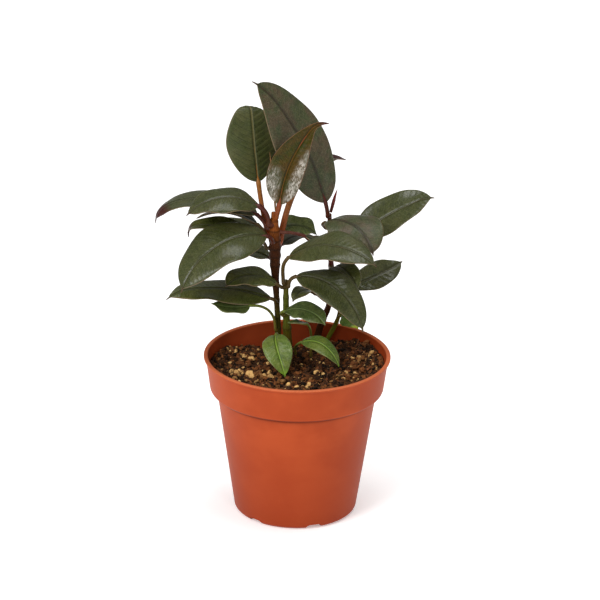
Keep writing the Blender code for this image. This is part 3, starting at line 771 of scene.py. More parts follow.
# Each leaf:
#   stem, height   what it grows on and how high, or its own foot in the mix
#   stalk  (length, heading, climb): the leaf stalk as it leaves the stem
#   blade  (length, width)
#   base   (heading, climb) of the midrib where the blade starts
#   tip    (heading, climb) of the midrib where the blade ends
#   turn   (base, tip): roll of the blade about its midrib, + lifts its right-hand edge
#   cup    (fold, curl): slope of each half at the midrib, and its further bend to the margin
#   hook   extra climb of the last fifth of the midrib
#   point  how pointed the blade is, if not TIP_POWER, and widest: where, if not WIDEST_AT
#   thick  radius of the stalk, if not STALK_RADIUS
#   finish the blade's finish, and skin: the stalk's
#   quilt  how far the blade puffs up between its side veins, and wave: how far its margin waves
#   flush  where the burgundy of the tip begins, as a share of the length
# Headings turn from +X towards +Y, and all angles are degrees.
LEAVES = {
    "leaf_crown_tall": dict(stem="rear_stem", height=172, stalk=(9, 248, 80), blade=(87.5, 37),
        base=(172, 76), tip=(193, 47), turn=(52, 40), cup=(-3, -5), hook=-16, thick=1.2, finish="bronze",
        skin="maroon", quilt=0.06, wave=0.5, flush=0.95),
    "leaf_crown_round": dict(stem="main_stem", height=163, stalk=(31, 142, 72), blade=(50, 32.5),
        base=(118, 76), tip=(100, 62), turn=(-4, -10), cup=(-4, -6), hook=-120, thick=1.4,
        finish="ribbed", skin="orange", quilt=0.75, wave=0.7, flush=0.97),
    "leaf_crown_front": dict(stem="main_stem", height=176, stalk=(9, -70, 66), blade=(60, 22.5),
        base=(20, 84), tip=(8, 44), turn=(-50, -68), cup=(16, 6), hook=-60, point=1.35, widest=0.34,
        thick=1.5, finish="copper", skin="red", quilt=0.26, wave=0.8, flush=0.88),
    "leaf_crown_back": dict(stem="main_stem", height=158, stalk=(31, 60, 70), blade=(44, 16),
        base=(42, 56), tip=(40, -28), turn=(0, 0), cup=(10, 8), thick=1.8, finish="bronze", skin="orange",
        quilt=0.08, wave=0.5, flush=0.7),
    "leaf_left_top_front": dict(stem="main_stem", height=171, stalk=(14, 215, 88), blade=(46, 24),
        base=(176, 31), tip=(212, -38), turn=(20, 10), cup=(4, -20), thick=1.5, finish="olive",
        skin="maroon", quilt=0.3, wave=0.8, flush=0.92),
    "leaf_left_top_back": dict(stem="main_stem", height=168, stalk=(10, 172, 66), blade=(68, 25),
        base=(158, 29), tip=(205, -32), turn=(18, -10), cup=(0, -8), hook=-60, thick=1.2, finish="olive",
        skin="maroon", quilt=0.18, wave=0.7, flush=0.77),
    "leaf_left_arched": dict(stem="main_stem", height=163, stalk=(9, 176, 62), blade=(38, 13),
        base=(164, 36), tip=(180, -32), turn=(-8, -10), cup=(10, 6), finish="olive", skin="dusky",
        quilt=0.08, wave=0.5, flush=0.94),
    "leaf_left_under": dict(stem="main_stem", height=157.5, stalk=(14, 118, 50), blade=(34, 15),
        base=(166, 2), tip=(178, -22), turn=(10, 10), cup=(8, 6), finish="sunlit", skin="dusky",
        quilt=0.08, wave=0.5, flush=0.94),
    "leaf_left_hooked": dict(stem="main_stem", height=156, stalk=(8, 190, 68), blade=(48, 16),
        base=(190, 34), tip=(160, -26), turn=(10, 10), cup=(10, 6), hook=-80, finish="sunlit",
        skin="dusky", quilt=0.08, wave=0.5, flush=0.82),
    "leaf_left_broad": dict(stem="main_stem", height=161, stalk=(8, 255, 64), blade=(67, 33),
        base=(202, 18), tip=(222, -64), turn=(28, 4), cup=(6, -16), thick=1.2, finish="olive",
        skin="maroon", quilt=0.3, wave=0.8, flush=0.94),
    "leaf_left_shaded": dict(stem="main_stem", height=145, stalk=(4, 110, 44), blade=(31, 15),
        base=(148, 14), tip=(126, -42), turn=(10, 10), cup=(8, 6), finish="sunlit", skin="maroon",
        quilt=0.08, wave=0.5, flush=0.95),
    "leaf_left_curled": dict(stem="green_stem", height=134, stalk=(4, 215, 40), blade=(35, 19),
        base=(168, 34), tip=(236, -24), turn=(15, 15), cup=(8, -14), finish="sunlit", skin="dusky",
        quilt=0.26, wave=0.8, flush=0.95),
    "leaf_left_low": dict(stem="main_stem", height=123, stalk=(5, 260, 52), blade=(67, 24),
        base=(172, 18), tip=(226, -2), turn=(22, 2), cup=(-4, -8), hook=-20, finish="sunlit",
        skin="dusky", quilt=0.28, wave=0.7, flush=0.95),
    "leaf_left_green": dict(stem="main_stem", height=105, stalk=(30, 238, 79), blade=(23, 14),
        base=(200, -4), tip=(186, 20), turn=(20, 10), cup=(6, 6), thick=0.8, finish="green", skin="green",
        quilt=0.1, wave=0.6, flush=0.97),
    "leaf_right_top_back": dict(stem="rear_stem", height=147, stalk=(13, 5, 42), blade=(54, 25),
        base=(4, 38), tip=(2, 24), turn=(-36, -34), cup=(6, 6), hook=-30, finish="olive", skin="dusky",
        quilt=0.3, wave=0.6, flush=0.95),
    "leaf_right_top_front": dict(stem="rear_stem", height=164, stalk=(9, 215, 45), blade=(43, 30),
        base=(335, 30), tip=(300, -62), turn=(5, -46), cup=(-4, -10), finish="bronze", skin="dusky",
        quilt=0.14, wave=1.0, flush=0.94),
    "leaf_right_mid_front": dict(stem="green_stem", height=137, stalk=(21, 240, 82), blade=(60, 26),
        base=(338, 44), tip=(332, -35), turn=(-20, -18), cup=(4, -14), thick=1.1, finish="olive",
        skin="dusky", quilt=0.3, wave=0.8, flush=0.95),
    "leaf_right_behind": dict(stem="main_stem", height=166, stalk=(13, -8, 2), blade=(32, 14),
        base=(4, -24), tip=(30, -20), turn=(0, 0), cup=(10, 6), finish="bronze", skin="maroon",
        quilt=0.08, wave=0.5, flush=0.94),
    "leaf_back_upright": dict(stem="main_stem", height=158.5, stalk=(10, 92, 42), blade=(23, 14),
        base=(12, 22), tip=(8, -52), turn=(-36, -30), cup=(8, 6), finish="moss", skin="maroon", quilt=0.6,
        wave=1.6, flush=0.95),
    "leaf_back_dark": dict(stem="main_stem", height=152, stalk=(5, 70, 40), blade=(35, 16), base=(58, 14),
        tip=(36, -34), turn=(0, 0), cup=(8, 6), finish="bronze", skin="maroon", quilt=0.08, wave=0.5,
        flush=0.95),
    "leaf_right_low_broad": dict(stem="green_stem", height=135, stalk=(10, 300, 80), blade=(57, 23),
        base=(340, 16), tip=(318, -74), turn=(-24, -18), cup=(4, -16), thick=1.1, finish="olive",
        skin="dusky", quilt=0.3, wave=0.8, flush=0.95),
    "leaf_right_pale": dict(stem="rear_stem", height=138, stalk=(10, 262, 8), blade=(30, 15),
        base=(300, 38), tip=(310, -64), turn=(-10, -10), cup=(6, 6), finish="sunlit", skin="dusky",
        quilt=0.08, wave=0.5, flush=0.95),
    "leaf_right_wide": dict(stem="side_shoot", height=119, stalk=(6, 20, 58), blade=(36, 17),
        base=(10, 18), tip=(44, 14), turn=(-42, -42), cup=(6, 6), finish="olive", skin="dusky", quilt=0.3,
        wave=0.6, flush=0.96),
    "leaf_low_back": dict(stem="rear_stem", height=113, stalk=(18, 255, 24), blade=(25, 12),
        base=(214, 50), tip=(244, -38), turn=(0, 0), cup=(6, 6), thick=0.85, finish="sunlit",
        skin="dusky", quilt=0.08, wave=0.4, flush=0.95),
    "leaf_low_front": dict(stem="green_stem", height=116, stalk=(7, 230, 50), blade=(31, 15),
        base=(345, 28), tip=(305, -34), turn=(-14, -26), cup=(2, -6), thick=0.85, finish="green",
        skin="green", quilt=0.26, wave=0.7, flush=0.97),
    "leaf_low_small": dict(stem=(8, 13, 90.4), height=90, stalk=(28, 275, 84), blade=(13, 8),
        base=(240, 30), tip=(170, -10), turn=(0, 0), cup=(6, 6), thick=0.7, finish="green", skin="green",
        quilt=0.08, wave=0.3, flush=0.97),
    "leaf_front_heart": dict(stem="main_stem", height=101, stalk=(13, 265, 42), blade=(32, 17),
        base=(264, 4), tip=(310, -70), turn=(-10, 0), cup=(7, 7), thick=0.85, finish="fresh",
        skin="green", quilt=0.24, wave=0.5, flush=0.84),
    "leaf_front_small": dict(stem=(-0.8, 11.6, 90.6), height=90, stalk=(17, 255, 52), blade=(32, 11),
        base=(326, 33), tip=(330, -72), turn=(-36, -10), cup=(2, -12), thick=0.75, finish="fresh",
        skin="green", quilt=0.1, wave=0.3, flush=0.92),
    "leaf_right_bright": dict(stem="side_shoot", height=104, stalk=(3, -70, 70), blade=(18, 15),
        base=(-50, 25), tip=(-60, -55), turn=(-45, -45), cup=(6, 6), thick=0.8, finish="lime",
        skin="green", quilt=0.1, wave=0.4, flush=0.8),
}
TIP_POWER = 0.72
WIDEST_AT = 0.47            # share of the length
DRIP_TIP = 0.04             # share of the length that the narrow tip takes
TIP_HALF = 0.35             # half width at the very tip
TIP_FLARE = 12.0            # how fast it widens away from there
TIP_FROM = 0.88             # share of the length where the flare begins
STALK_RADIUS = 1.0
STALK_GAP = 0.3             # between a stem's bark and a stalk's foot
STALK_BENDS = 5
STALK_SIDES = 14
STALK_STEPS = 5             # rings for each bend
STALK_FOOT = (0.35, 0.12)   # swelling at its foot, and the share of the stalk that it takes
STALK_NECK = (0.12, 0.08)   # the same where the blade begins
MIDRIB_SUNK = 0.45          # how far below the blade's upper face the midrib lies
BLADE_THICKNESS = 0.42
BLADE_ROW = 0.5             # length of one row of the blade's mesh
FEWEST_ROWS = 36
VEIN_SPACING = 3.5
VEIN_LEAN = 0.30            # how far a side vein runs towards the tip for each millimetre outwards
VEIN_ARCH = 0.35            # and how much more it does so at the margin
PUFF_ROUNDNESS = 0.6
PUFF_CLEAR = 1.8            # distance from the midrib at which the puffs begin
FULL_RELIEF = 5.0           # half width from which the blade shows its whole relief
HOOK_FROM = 0.8             # share of the midrib where its hook begins
HOOK_OVER = 0.2
GROOVE = (0.32, 0.45)       # depth and half width of the groove over the midrib
SHOULDERS = (0.22, 1.5, 0.9)  # height, distance from the midrib and half width of its two shoulders
MARGIN_DROP = 0.45          # how far the margin curls down
BUCKLE = 0.7                # unevenness of the whole blade
FLUSH_OVER = 0.08           # share of the length over which the burgundy comes in
FAR_INSIDE = 9.0            # what the stalk keeps as its distance from midrib and rim


def direction(heading, climb):
    """A unit vector from degrees round and degrees up."""
    h, c = radians(heading), radians(climb)
    return np.array([cos(c) * cos(h), cos(c) * sin(h), sin(c)])


def between(a, b, t):
    """The value a share t of the way from a to b."""
    return a + (b - a) * t


def stem_point(stem, height):
    """Centre and radius of a stem at a height, or a leaf's own foot in the mix."""
    if not isinstance(stem, str):
        return np.array(stem, float), 0.0
    route = STEM_ROUTES[stem]
    for low, high in zip(route, route[1:]):
        if height <= high[2]:
            break
    t = (height - low[2]) / (high[2] - low[2])
    return between(np.array(low[:3], float), np.array(high[:3], float), t), between(low[3], high[3], t)


def blade_outline(t, point, widest):
    """Half width along the blade, as a share of the greatest half width."""
    along = min(t / (1 - DRIP_TIP), 1.0)
    base_power = point * widest / (1 - widest)
    peak = widest ** base_power * (1 - widest) ** point
    return along ** base_power * (1 - along) ** point / peak


def drip_half(t):
    """Half width of the drip tip, which flares out into the blade."""
    return TIP_HALF * 0.6 + TIP_FLARE * (1 - t) if t > TIP_FROM else TIP_HALF


def half_section(share, half_width, fold, curl):
    """Offsets (sideways, upwards) of points a share of the way from midrib to margin."""
    slope, bend = radians(fold), radians(curl)
    if abs(bend) < 1e-4:
        return half_width * share * cos(slope), half_width * share * sin(slope)
    sideways = (np.sin(slope + bend * share) - sin(slope)) / bend
    upwards = (cos(slope) - np.cos(slope + bend * share)) / bend
    return half_width * sideways, half_width * upwards


def stalk_line(foot, stem_radius, stalk, base, thick):
    """Points down the middle of the stalk, from inside the stem to where the blade starts."""
    clearance = stem_radius + thick + STALK_GAP if stem_radius else 0.0
    place = foot + direction(stalk[1], 0) * clearance
    rooted = foot + direction(stalk[1], 0) * 0.4 * stem_radius
    line = [rooted if stem_radius else foot - (0, 0, ROOTED_DEPTH), place]
    for step in range(STALK_BENDS):
        t = step / STALK_BENDS
        along = direction(between(stalk[1], base[0], t), between(stalk[2], base[1], t))
        place = place + along * (stalk[0] / STALK_BENDS)
        line.append(place)
    return line


def smooth_line(line, steps):
    """A smooth curve through every point of a line."""
    ends = [2 * line[0] - line[1]] + list(line) + [2 * line[-1] - line[-2]]
    curve = []
    for a, b, c, d in zip(ends, ends[1:], ends[2:], ends[3:]):
        for step in range(steps):
            t = step / steps
            curve.append(0.5 * (2 * b + (c - a) * t + (2 * a - 5 * b + 4 * c - d) * t ** 2
                                + (3 * b - a - 3 * c + d) * t ** 3))
    curve.append(line[-1])
    return curve


def midrib_stations(start, leaf, rows):
    """For each row of the blade: share of length, place, right-hand and upward directions."""
    base, tip, turn, hook = leaf["base"], leaf["tip"], leaf["turn"], leaf.get("hook", 0)
    stations = []
    place = np.array(start, float)
    for row in range(rows + 1):
        t = row / rows
        if row:
            middle = (row - 0.5) / rows
            lift = hook * max(0.0, middle - HOOK_FROM) / HOOK_OVER
            along = direction(between(base[0], tip[0], middle), between(base[1], tip[1], middle) + lift)
            place = place + along * (leaf["blade"][0] / rows)
        heading = between(base[0], tip[0], t)
        climb = between(base[1], tip[1], t) + hook * max(0.0, t - HOOK_FROM) / HOOK_OVER
        roll = radians(between(turn[0], turn[1], t))
        up, along = direction(heading, climb + 90), direction(heading, climb)
        right = np.cross(along, up)
        across, above = right * cos(roll) + up * sin(roll), up * cos(roll) - right * sin(roll)
        stations.append((t, place.copy(), across, above))
    return stations


# The blade's columns, as shares of the way from midrib to margin, closest where it bends most.
COLUMNS = (0.0, 0.03, 0.065, 0.11, 0.18, 0.27, 0.37, 0.48, 0.59, 0.70, 0.80, 0.88, 0.94, 0.98, 1.0)
SHARES = np.array([-c for c in reversed(COLUMNS[1:])] + list(COLUMNS))


def relief(t, length, half_width, seed, quilt, wave):
    """Height of the blade's upper face over its plain section, and the side veins' count, for one row."""
    across = np.abs(SHARES)
    reach = across * half_width
    s = t * length
    right_side = SHARES > 0
    vein = (s - VEIN_LEAN * reach - VEIN_ARCH * reach * across) / VEIN_SPACING + 0.4 * right_side + seed
    room = min(1.0, half_width / FULL_RELIEF)
    puffs = np.abs(np.sin(pi * vein)) ** PUFF_ROUNDNESS - 0.6
    puffs = puffs * (1 - np.exp(-(reach / PUFF_CLEAR) ** 2)) * (1 - across ** 6)
    groove = -GROOVE[0] * np.exp(-(reach / GROOVE[1]) ** 2) * (1 - 0.6 * t)
    rise, away, half = SHOULDERS
    shoulders = rise * np.exp(-((reach - away) / half) ** 2) * (1 - 0.5 * t)
    swing = np.where(right_side, sin(2 * pi * t * 2.3 + seed), sin(2 * pi * t * 1.9 + 2.4 * seed + 1.3))
    ripple = wave * across ** 3 * swing
    recurved = -MARGIN_DROP * np.clip((across - 0.9) / 0.1, 0, 1) ** 2
    buckle = np.array([noise.noise(Vector((s / 15, u * half_width / 9, seed * 3.7))) for u in SHARES])
    return (quilt * puffs + shoulders + ripple + recurved + BUCKLE * buckle) * room + groove, vein


def blade_rings(leaf, stations, seed):
    """Rings round the blade: over its upper face and back under its lower one, with their attributes."""
    length, width = leaf["blade"]
    rings = []
    marks = {"along": [], "reach": [], "rim": [], "under": [], "vein": []}
    flats = []
    sides = np.sign(SHARES)
    for t, place, right, up in stations:
        plain = width / 2 * blade_outline(t, leaf.get("point", TIP_POWER), leaf.get("widest", WIDEST_AT))
        half_width = max(plain, drip_half(t))
        fold = leaf["cup"][0] * min(1.0, 0.3 + 3 * t)
        sideways, upwards = half_section(np.abs(SHARES), half_width, fold, leaf["cup"][1])
        height, vein = relief(t, length, half_width, seed, leaf["quilt"], leaf["wave"])
        thickness = BLADE_THICKNESS * (1 - 0.55 * np.abs(SHARES) ** 3)
        top = place + np.outer(sides * sideways, right) + np.outer(upwards + height, up)
        bottom = top - np.outer(thickness, up)
        rings.append(list(top) + list(bottom[::-1]))
        reach = np.abs(SHARES) * half_width
        row = {"along": np.full(len(SHARES), t), "reach": reach, "rim": half_width - reach, "vein": vein}
        for label, values in row.items():
            marks[label] += list(values) + list(values[::-1])
        marks["under"] += [0.0] * len(SHARES) + [1.0] * len(SHARES)
        flat = [(t * length, u * half_width, seed * 31.0) for u in SHARES]
        flats += flat + flat[::-1]
    return rings, marks, flats


def stalk_rings(line, stations, radius):
    """Rings down the stalk and on under the blade as its midrib."""
    rings = []
    ages = []
    foot_count = len(line)
    for row, centre in enumerate(line):
        along = line[min(row + 1, foot_count - 1)] - line[max(row - 1, 0)]
        share = row / foot_count
        at_foot = STALK_FOOT[0] * exp(-(share / STALK_FOOT[1]) ** 2)
        at_neck = STALK_NECK[0] * exp(-((1 - share) / STALK_NECK[1]) ** 2)
        rings.append(level_ring(centre, along, radius * (1 + at_foot + at_neck), STALK_SIDES))
        ages += [share] * STALK_SIDES
    for before, (t, place, _, up), after in zip(stations, stations[2:-2:2], stations[4::2]):
        thin = radius * (1 - t) ** 0.8 * 0.7 + 0.1
        sunk = (thin + MIDRIB_SUNK) * min(1.0, t / 0.07)
        rings.append(level_ring(place - up * sunk, after[1] - before[1], thin, STALK_SIDES))
        ages += [1.0 + t] * STALK_SIDES
    return rings, ages


def leaf_blade(name, face, second, vein, rib, rim, under, flush, gloss,
               lines=0.25, rib_reach=0.5, coat=0.10, depth=0.08, bloom=0.0, shine=0.30):
    """A waxy blade: dark clouded face, fainter side veins, midrib, dull underside and thin pale rim, with
    painted shade in the crease beside the midrib.

    lines is how much the side veins show, rib_reach half the midrib's width, and bloom
    how strongly pale streaks of painted highlight are laid on the blade.
    """
    f = Finish(name, face)
    dark = tuple(part * 0.35 for part in face)
    flat = f.attribute("flat", "Vector")
    reach, edge = f.attribute("reach"), f.attribute("rim")
    cloud = f.mottle(flat, 9.0, detail=3.0)
    fine = f.mottle(flat, 0.7, detail=6.0, roughness=0.75)
    net = f.add("ShaderNodeTexVoronoi", {"feature": "DISTANCE_TO_EDGE"}, {"Vector": flat, "Scale": 1.1})
    swing = f.add("ShaderNodeMath", {"operation": "PINGPONG"}, {0: f.attribute("vein"), 1: 0.5})
    line = (1.0 - f.ramp(swing, 0.01, 0.12)) * f.ramp(reach, 0.3, 1.5) * f.ramp(edge, 0.3, 2.5)
    veinlets = 1.0 - f.ramp(net, 0.0, 0.09)
    midrib = 1.0 - f.ramp(reach, 0.4 * rib_reach, rib_reach)
    # Painted shade: a darker band on each side of the midrib, where its crease lies in shade.
    crease_shade = f.ramp(reach, 0.5 * rib_reach, rib_reach) * (1.0 - f.ramp(reach, rib_reach, rib_reach + 0.9))
    upper = f.blend(f.ramp(cloud, 0.38, 0.64), face, second)
    upper = f.blend(f.ramp(fine, 0.46, 0.66) * 0.7, upper, vein)
    upper = f.blend((1.0 - f.ramp(fine, 0.34, 0.52)) * 0.55, upper, dark)
    upper = f.blend(veinlets * 0.08, upper, vein)
    upper = f.blend(line * lines, upper, vein)
    upper = f.blend(f.ramp(f.mottle(flat, 3.2, detail=4.0), 0.48, 0.68) * 0.35, upper, dark)
    upper = f.blend(crease_shade * 0.55, upper, dark)
    upper = f.blend(midrib * 0.7, upper, rib)
    lower = f.blend(f.ramp(cloud, 0.3, 0.7) * 0.5, under, second)
    lower = f.blend(line * 0.35, lower, rib)
    lower = f.blend(f.ramp(fine, 0.5, 0.7) * 0.3, lower, vein)
    if bloom:
        # Painted highlight: pale streaks near the base of one half and along the other half, where the
        # blade would catch light.
        slanted = {"Vector": flat, "Rotation": (0.0, 0.0, 1.1), "Scale": (0.6, 1.6, 1.0)}
        slant = f.add("ShaderNodeMapping", None, slanted)
        streaks = f.ramp(f.mottle(slant, 1.1, detail=7.0, roughness=0.66), 0.40, 0.60)
        patches = f.ramp(f.mottle(flat, 3.5, detail=4.0), 0.36, 0.58)
        along, side = f.coordinate(flat, 0), f.coordinate(flat, 1)
        ragged = f.mottle(flat, 5.0) * 10.0 - 5.0
        one_half = f.ramp(side * -1.0, 0.7, 4.5) * (1.0 - f.ramp(along + ragged, 9.0, 24.0))
        other_half = f.ramp(side - 0.10 * along, 0.4, 4.5) * (1.0 - f.ramp(along + ragged, 26.0, 50.0))
        sheen = (one_half + other_half) * (0.08 + 0.32 * streaks + 0.60 * streaks * patches)
        upper = f.blend(sheen * bloom, upper, (0.52, 0.48, 0.42))
    below = f.attribute("under")
    colour = f.blend(below, upper, lower)
    colour = f.blend((1.0 - f.ramp(edge, 0.05, 0.34)) * 0.75, colour, rim)
    colour = f.blend(f.attribute("flush"), colour, flush)
    specks = f.ramp(f.mottle(flat, 0.55, detail=1.0), 0.74, 0.79)
    colour = f.blend(specks * 0.2, colour, (0.30, 0.28, 0.18))
    height = fine * 0.35 + line * 0.55 - veinlets * 0.2 - midrib * 0.8
    return f.finish(
        {"Specular IOR Level": shine, "Coat Roughness": 0.22, "Subsurface Weight": 0.0},
        base_color=colour,
        roughness=gloss + cloud * 0.14 + below * 0.22 + specks * 0.2,
        coat_weight=coat - below * coat,
        normal=f.bump(height, depth),
    )


def stalk_skin(name, foot, top, streak, gloss):
    """A smooth stalk, coloured from its foot to the blade, with darker lengthwise streaks."""
    f = Finish(name, top)
    at = f.place()
    cloud = f.mottle(at, 2.5)
    streaks = f.mottle(f.stretch(at, (1.0, 1.0, 0.3)), 0.5)
    colour = f.blend(f.ramp(f.attribute("along"), 0.0, 1.1), foot, top)
    colour = f.blend(f.ramp(streaks, 0.45, 0.7) * 0.5, colour, streak)
    colour = f.blend(f.ramp(cloud, 0.5, 0.75) * 0.35, colour, streak)
    return f.finish(
        {"Specular IOR Level": 0.25},
        base_color=colour,
        roughness=gloss + cloud * 0.15,
        normal=f.bump(streaks, 0.08),
    )


BURGUNDY = (0.042, 0.008, 0.004)
PALE_RIM = (0.21, 0.135, 0.075)
# Blade: face, second, vein, rib, rim, under, flush, gloss, and what differs from a plain blade.
BLADE_TONES = {
    "olive": ((0.036, 0.043, 0.009), (0.054, 0.055, 0.015), (0.090, 0.098, 0.036),
        (0.070, 0.064, 0.024), PALE_RIM, (0.10, 0.09, 0.035), BURGUNDY, 0.26,
        dict(lines=0.36, rib_reach=0.4, coat=0.26, depth=0.20, shine=0.20)),
    # The next tone's dark rib is painted shade along the midrib's crease.
    "bronze": ((0.042, 0.054, 0.017), (0.072, 0.049, 0.025), (0.110, 0.100, 0.052),
        (0.022, 0.014, 0.007), PALE_RIM, (0.11, 0.08, 0.04), BURGUNDY, 0.34,
        dict(lines=0.14, rib_reach=0.8, coat=0.08, depth=0.20, shine=0.22)),
    "ribbed": ((0.050, 0.060, 0.012), (0.074, 0.076, 0.020), (0.026, 0.032, 0.006),
        (0.135, 0.115, 0.040), PALE_RIM, (0.10, 0.09, 0.035), BURGUNDY, 0.42,
        dict(lines=0.45, rib_reach=0.8, coat=0.06, depth=0.20)),
    # The next tone carries pale streaks of painted highlight on its blade.
    "copper": ((0.024, 0.032, 0.001), (0.058, 0.030, 0.001), (0.085, 0.052, 0.010),
        (0.110, 0.050, 0.006), (0.24, 0.10, 0.05), (0.12, 0.07, 0.025), (0.060, 0.010, 0.005), 0.22,
        dict(lines=0.25, rib_reach=0.6, coat=0.08, depth=0.25, bloom=0.95, shine=0.12)),
    # The next tone is a lighter copy of olive: painted light for leaves that sit in the shade of other
    # leaves.
    "sunlit": ((0.060, 0.072, 0.012), (0.085, 0.086, 0.020), (0.130, 0.145, 0.048),
        (0.050, 0.050, 0.016), PALE_RIM, (0.12, 0.11, 0.04), BURGUNDY, 0.26,
        dict(rib_reach=0.4, coat=0.24, depth=0.14, shine=0.20)),
    "moss": ((0.070, 0.095, 0.018), (0.105, 0.130, 0.034), (0.180, 0.200, 0.075), (0.045, 0.055, 0.012),
        PALE_RIM, (0.12, 0.14, 0.05), BURGUNDY, 0.30,
        dict(lines=0.5, rib_reach=0.4, coat=0.12, depth=0.16)),
    "green": ((0.042, 0.070, 0.011), (0.072, 0.096, 0.020), (0.115, 0.140, 0.045), (0.12, 0.17, 0.035),
        (0.20, 0.19, 0.08), (0.12, 0.15, 0.05), (0.08, 0.12, 0.02), 0.34, dict()),
    "fresh": ((0.066, 0.125, 0.007), (0.130, 0.175, 0.022), (0.21, 0.26, 0.075), (0.24, 0.38, 0.035),
        (0.27, 0.28, 0.09), (0.15, 0.20, 0.07), (0.16, 0.28, 0.015), 0.26,
        dict(lines=0.45, coat=0.2, depth=0.14)),
    "lime": ((0.055, 0.105, 0.010), (0.080, 0.130, 0.015), (0.16, 0.21, 0.04), (0.10, 0.16, 0.03),
        (0.26, 0.34, 0.04), (0.16, 0.23, 0.06), (0.34, 0.42, 0.02), 0.32, dict()),
}
LEAF_FINISHES = {
    name: leaf_blade(name + "_blade", *tones, **rest) for name, (*tones, rest) in BLADE_TONES.items()
}

# Stalk: foot, top, streak and gloss.
STALK_TONES = {
    "orange": ((0.30, 0.050, 0.008), (0.27, 0.105, 0.016), (0.12, 0.030, 0.005), 0.34),
    "red": ((0.24, 0.058, 0.008), (0.19, 0.036, 0.006), (0.070, 0.013, 0.003), 0.34),
    "maroon": ((0.090, 0.020, 0.006), (0.070, 0.012, 0.006), (0.026, 0.006, 0.003), 0.34),
    "dusky": ((0.062, 0.036, 0.008), (0.080, 0.048, 0.012), (0.026, 0.016, 0.004), 0.38),
    "green": ((0.15, 0.12, 0.016), (0.12, 0.17, 0.024), (0.17, 0.075, 0.018), 0.38),
}
STALK_FINISHES = {name: stalk_skin(name + "_stalk", *tones) for name, tones in STALK_TONES.items()}

for number, (name, leaf) in enumerate(LEAVES.items()):
    thick = leaf.get("thick", STALK_RADIUS)
    seed = 1.0 + 0.77 * number
    foot, stem_radius = stem_point(leaf["stem"], leaf["height"])
    line = stalk_line(foot, stem_radius, leaf["stalk"], leaf["base"], thick)
    rows = max(FEWEST_ROWS, int(leaf["blade"][0] / BLADE_ROW))
    stations = midrib_stations(line[-1], leaf, rows)
    rings, marks, flats = blade_rings(leaf, stations, seed)
    points, faces = skin(rings)
    blade_faces = len(faces)
    stalk, ages = stalk_rings(smooth_line(line, STALK_STEPS), stations, thick)
    more, joined = skin(stalk)
    faces += [tuple(len(points) + i for i in face) for face in joined]
    spare = len(more)
    points = list(points) + list(more)
    which = [0] * blade_faces + [1] * len(joined)
    finishes = [LEAF_FINISHES[leaf["finish"]], STALK_FINISHES[leaf["skin"]]]
    piece = make_piece(name.replace("leaf_", "grown_leaf_"), points, faces, finishes, which)
    marks["flush"] = [min(1.0, max(0.0, t - leaf["flush"]) / FLUSH_OVER) for t in marks["along"]]
    for label, values in marks.items():
        on_stalk = [FAR_INSIDE if label in ("reach", "rim") else 0.0] * spare
        mark_points(piece, label, values + (ages if label == "along" else on_stalk))
    flat = piece.data.attributes.new("flat", "FLOAT_VECTOR", "POINT")
    flat.data.foreach_set("vector", np.array(flats + [(0.0, 0.0, 0.0)] * spare, np.float32).ravel())
    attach(piece, "root")
    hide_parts(name)


# Bud sheaths
# The next leaves, still rolled tight in their long pointed sheaths: a short crimson one at the end of
# the rear stem and a slim tan one that stands beside the crown.

BUDS = {
    "bud_rear": dict(base=(18.4, 26.2, 173.9), length=14, radius=1.3, heading=50, climb=66),
    "bud_front": dict(base=(-13.6, 14.6, 178.8), length=35, radius=0.8, heading=138, climb=81.6),
}
SHEATH_ROWS = 48
SHEATH_SIDES = 26
SHEATH_SUNK = 0.8           # how far a sheath reaches down into its joint
SHEATH_SWAY = 0.35
crimson = stalk_skin("crimson_sheath", (0.12, 0.022, 0.012), (0.22, 0.020, 0.018),
                     (0.05, 0.010, 0.007), 0.30)
tan = stalk_skin("tan_sheath", (0.20, 0.10, 0.03), (0.34, 0.17, 0.07), (0.10, 0.05, 0.015), 0.36)
sheaths = {"bud_rear": crimson, "bud_front": tan}
for name, bud in BUDS.items():
    along = direction(bud["heading"], bud["climb"])
    side = direction(bud["heading"], bud["climb"] + 90)
    other = np.cross(along, side)
    rings = []
    ages = []
    for row in range(SHEATH_ROWS + 1):
        t = row / SHEATH_ROWS
        swell = bud["radius"] * (0.55 + 0.9 * t * (1 - t)) * (1 - t ** 3) + 0.10
        centre = np.array(bud["base"]) + along * (bud["length"] * t - SHEATH_SUNK)
        sway = SHEATH_SWAY * sin(pi * t)
        ring = []
        for i in range(SHEATH_SIDES):
            angle = 2 * pi * i / SHEATH_SIDES
            furl = (angle / (2 * pi) + 1.2 * t) % 1.0
            radius = swell * (0.88 + 0.16 * furl) * (1 + 0.03 * sin(3 * angle))
            ring.append(centre + side * (radius * cos(angle) + sway) + other * radius * sin(angle))
        rings.append(ring)
        ages += [t] * SHEATH_SIDES
    points, faces = skin(rings)
    piece = make_piece(name + "_sheath", points, faces, [sheaths[name]])
    mark_points(piece, "along", ages)
    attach(piece, "root")
    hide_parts(name)


# Floor, light and camera
# A plain white floor that runs out of sight and glows faintly, painted light that washes out the
# shadows on it, a broad soft main light from the upper left and another overhead, four weak ones that
# lift the shaded sides, and a long lens a little above the plant.

FLOOR_REACH = 7000
FLOOR_DROP = -0.2           # just under the pot's feet, so that the two faces do not meet
floor_finish = Finish("studio_floor", (0.95, 0.95, 0.95))
floor_cloud = floor_finish.mottle(floor_finish.place(), 400.0)
# Painted light: the floor glows faintly, so that the shadows cast on it wash out and its glow reaches the
# pot's foot.
floor_finish.finish(
    {"Specular IOR Level": 0.0, "Emission Color": (1.0, 1.0, 1.0), "Emission Strength": 0.33},
    base_color=floor_finish.blend(floor_cloud, (0.95, 0.95, 0.95), (0.96, 0.96, 0.96)),
    roughness=0.9 + floor_cloud * 0.05,
)
ways = ((-1, -1), (1, -1), (1, 1), (-1, 1))
corners = [(x * FLOOR_REACH, y * FLOOR_REACH, FLOOR_DROP) for x, y in ways]
floor = make_piece("studio_floor", corners, [(0, 1, 2, 3)], [floor_finish.material])

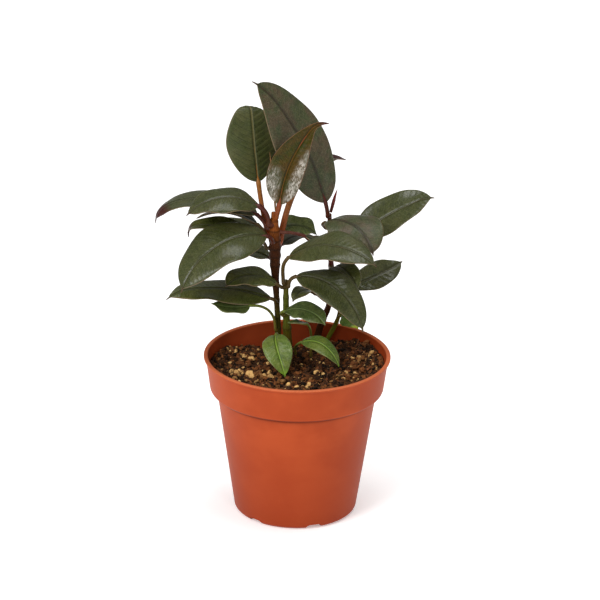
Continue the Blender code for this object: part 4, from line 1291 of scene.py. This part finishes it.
AIM = Vector((0.0012, 0.0, 0.129))  # metres, as for the lights and the camera


def soft_light(name, place, size, watts):
    """A round softbox at a place in metres, turned to the plant."""
    light = bpy.data.lights.new(name, "AREA")
    light.shape = "DISK"
    light.size = size
    light.energy = watts
    lamp = bpy.data.objects.new(name, light)
    lamp.location = place
    lamp.rotation_euler = (AIM - Vector(place)).to_track_quat("-Z", "Y").to_euler()
    bpy.context.scene.collection.objects.link(lamp)


soft_light("key_softbox", (-1.3, -1.5, 1.7), 1.1, 36.0)
soft_light("top_softbox", (0.2, 0.1, 2.2), 1.4, 26.0)
soft_light("low_softbox", (-1.0, -1.8, 0.45), 0.6, 4.0)
soft_light("front_softbox", (0.45, -1.5, 1.45), 0.45, 4.0)
soft_light("fill_softbox", (1.8, -1.6, 0.9), 1.0, 1.0)
soft_light("side_softbox", (1.9, -1.0, 0.45), 0.35, 2.5)

world = bpy.data.worlds.new("studio_world")
world.use_nodes = True
backdrop = world.node_tree.nodes["Background"].inputs
backdrop["Color"].default_value = (1.0, 1.0, 1.0, 1.0)
backdrop["Strength"].default_value = 0.28
bpy.context.scene.world = world

CAMERA_DISTANCE = 2.5
CAMERA_CLIMB = radians(22.2)
CAMERA_ROLL = radians(0.8)
CAMERA_LENS = 261.1
CAMERA_SENSOR = 36.0
CAMERA_SEES_TO = 50.0
camera_data = bpy.data.cameras.new("camera")
camera_data.lens = CAMERA_LENS
camera_data.sensor_width = CAMERA_SENSOR
camera_data.clip_end = CAMERA_SEES_TO
camera = bpy.data.objects.new("camera", camera_data)
camera.location = AIM + CAMERA_DISTANCE * Vector((0.0, -cos(CAMERA_CLIMB), sin(CAMERA_CLIMB)))
camera.rotation_euler = (
    Matrix.Rotation(pi / 2 - CAMERA_CLIMB, 3, "X") @ Matrix.Rotation(CAMERA_ROLL, 3, "Z")
).to_euler()
bpy.context.scene.collection.objects.link(camera)
bpy.context.scene.camera = camera
bpy.context.scene.view_settings.view_transform = "Standard"
bpy.context.scene.view_settings.look = "None"

bpy.context.view_layer.update()
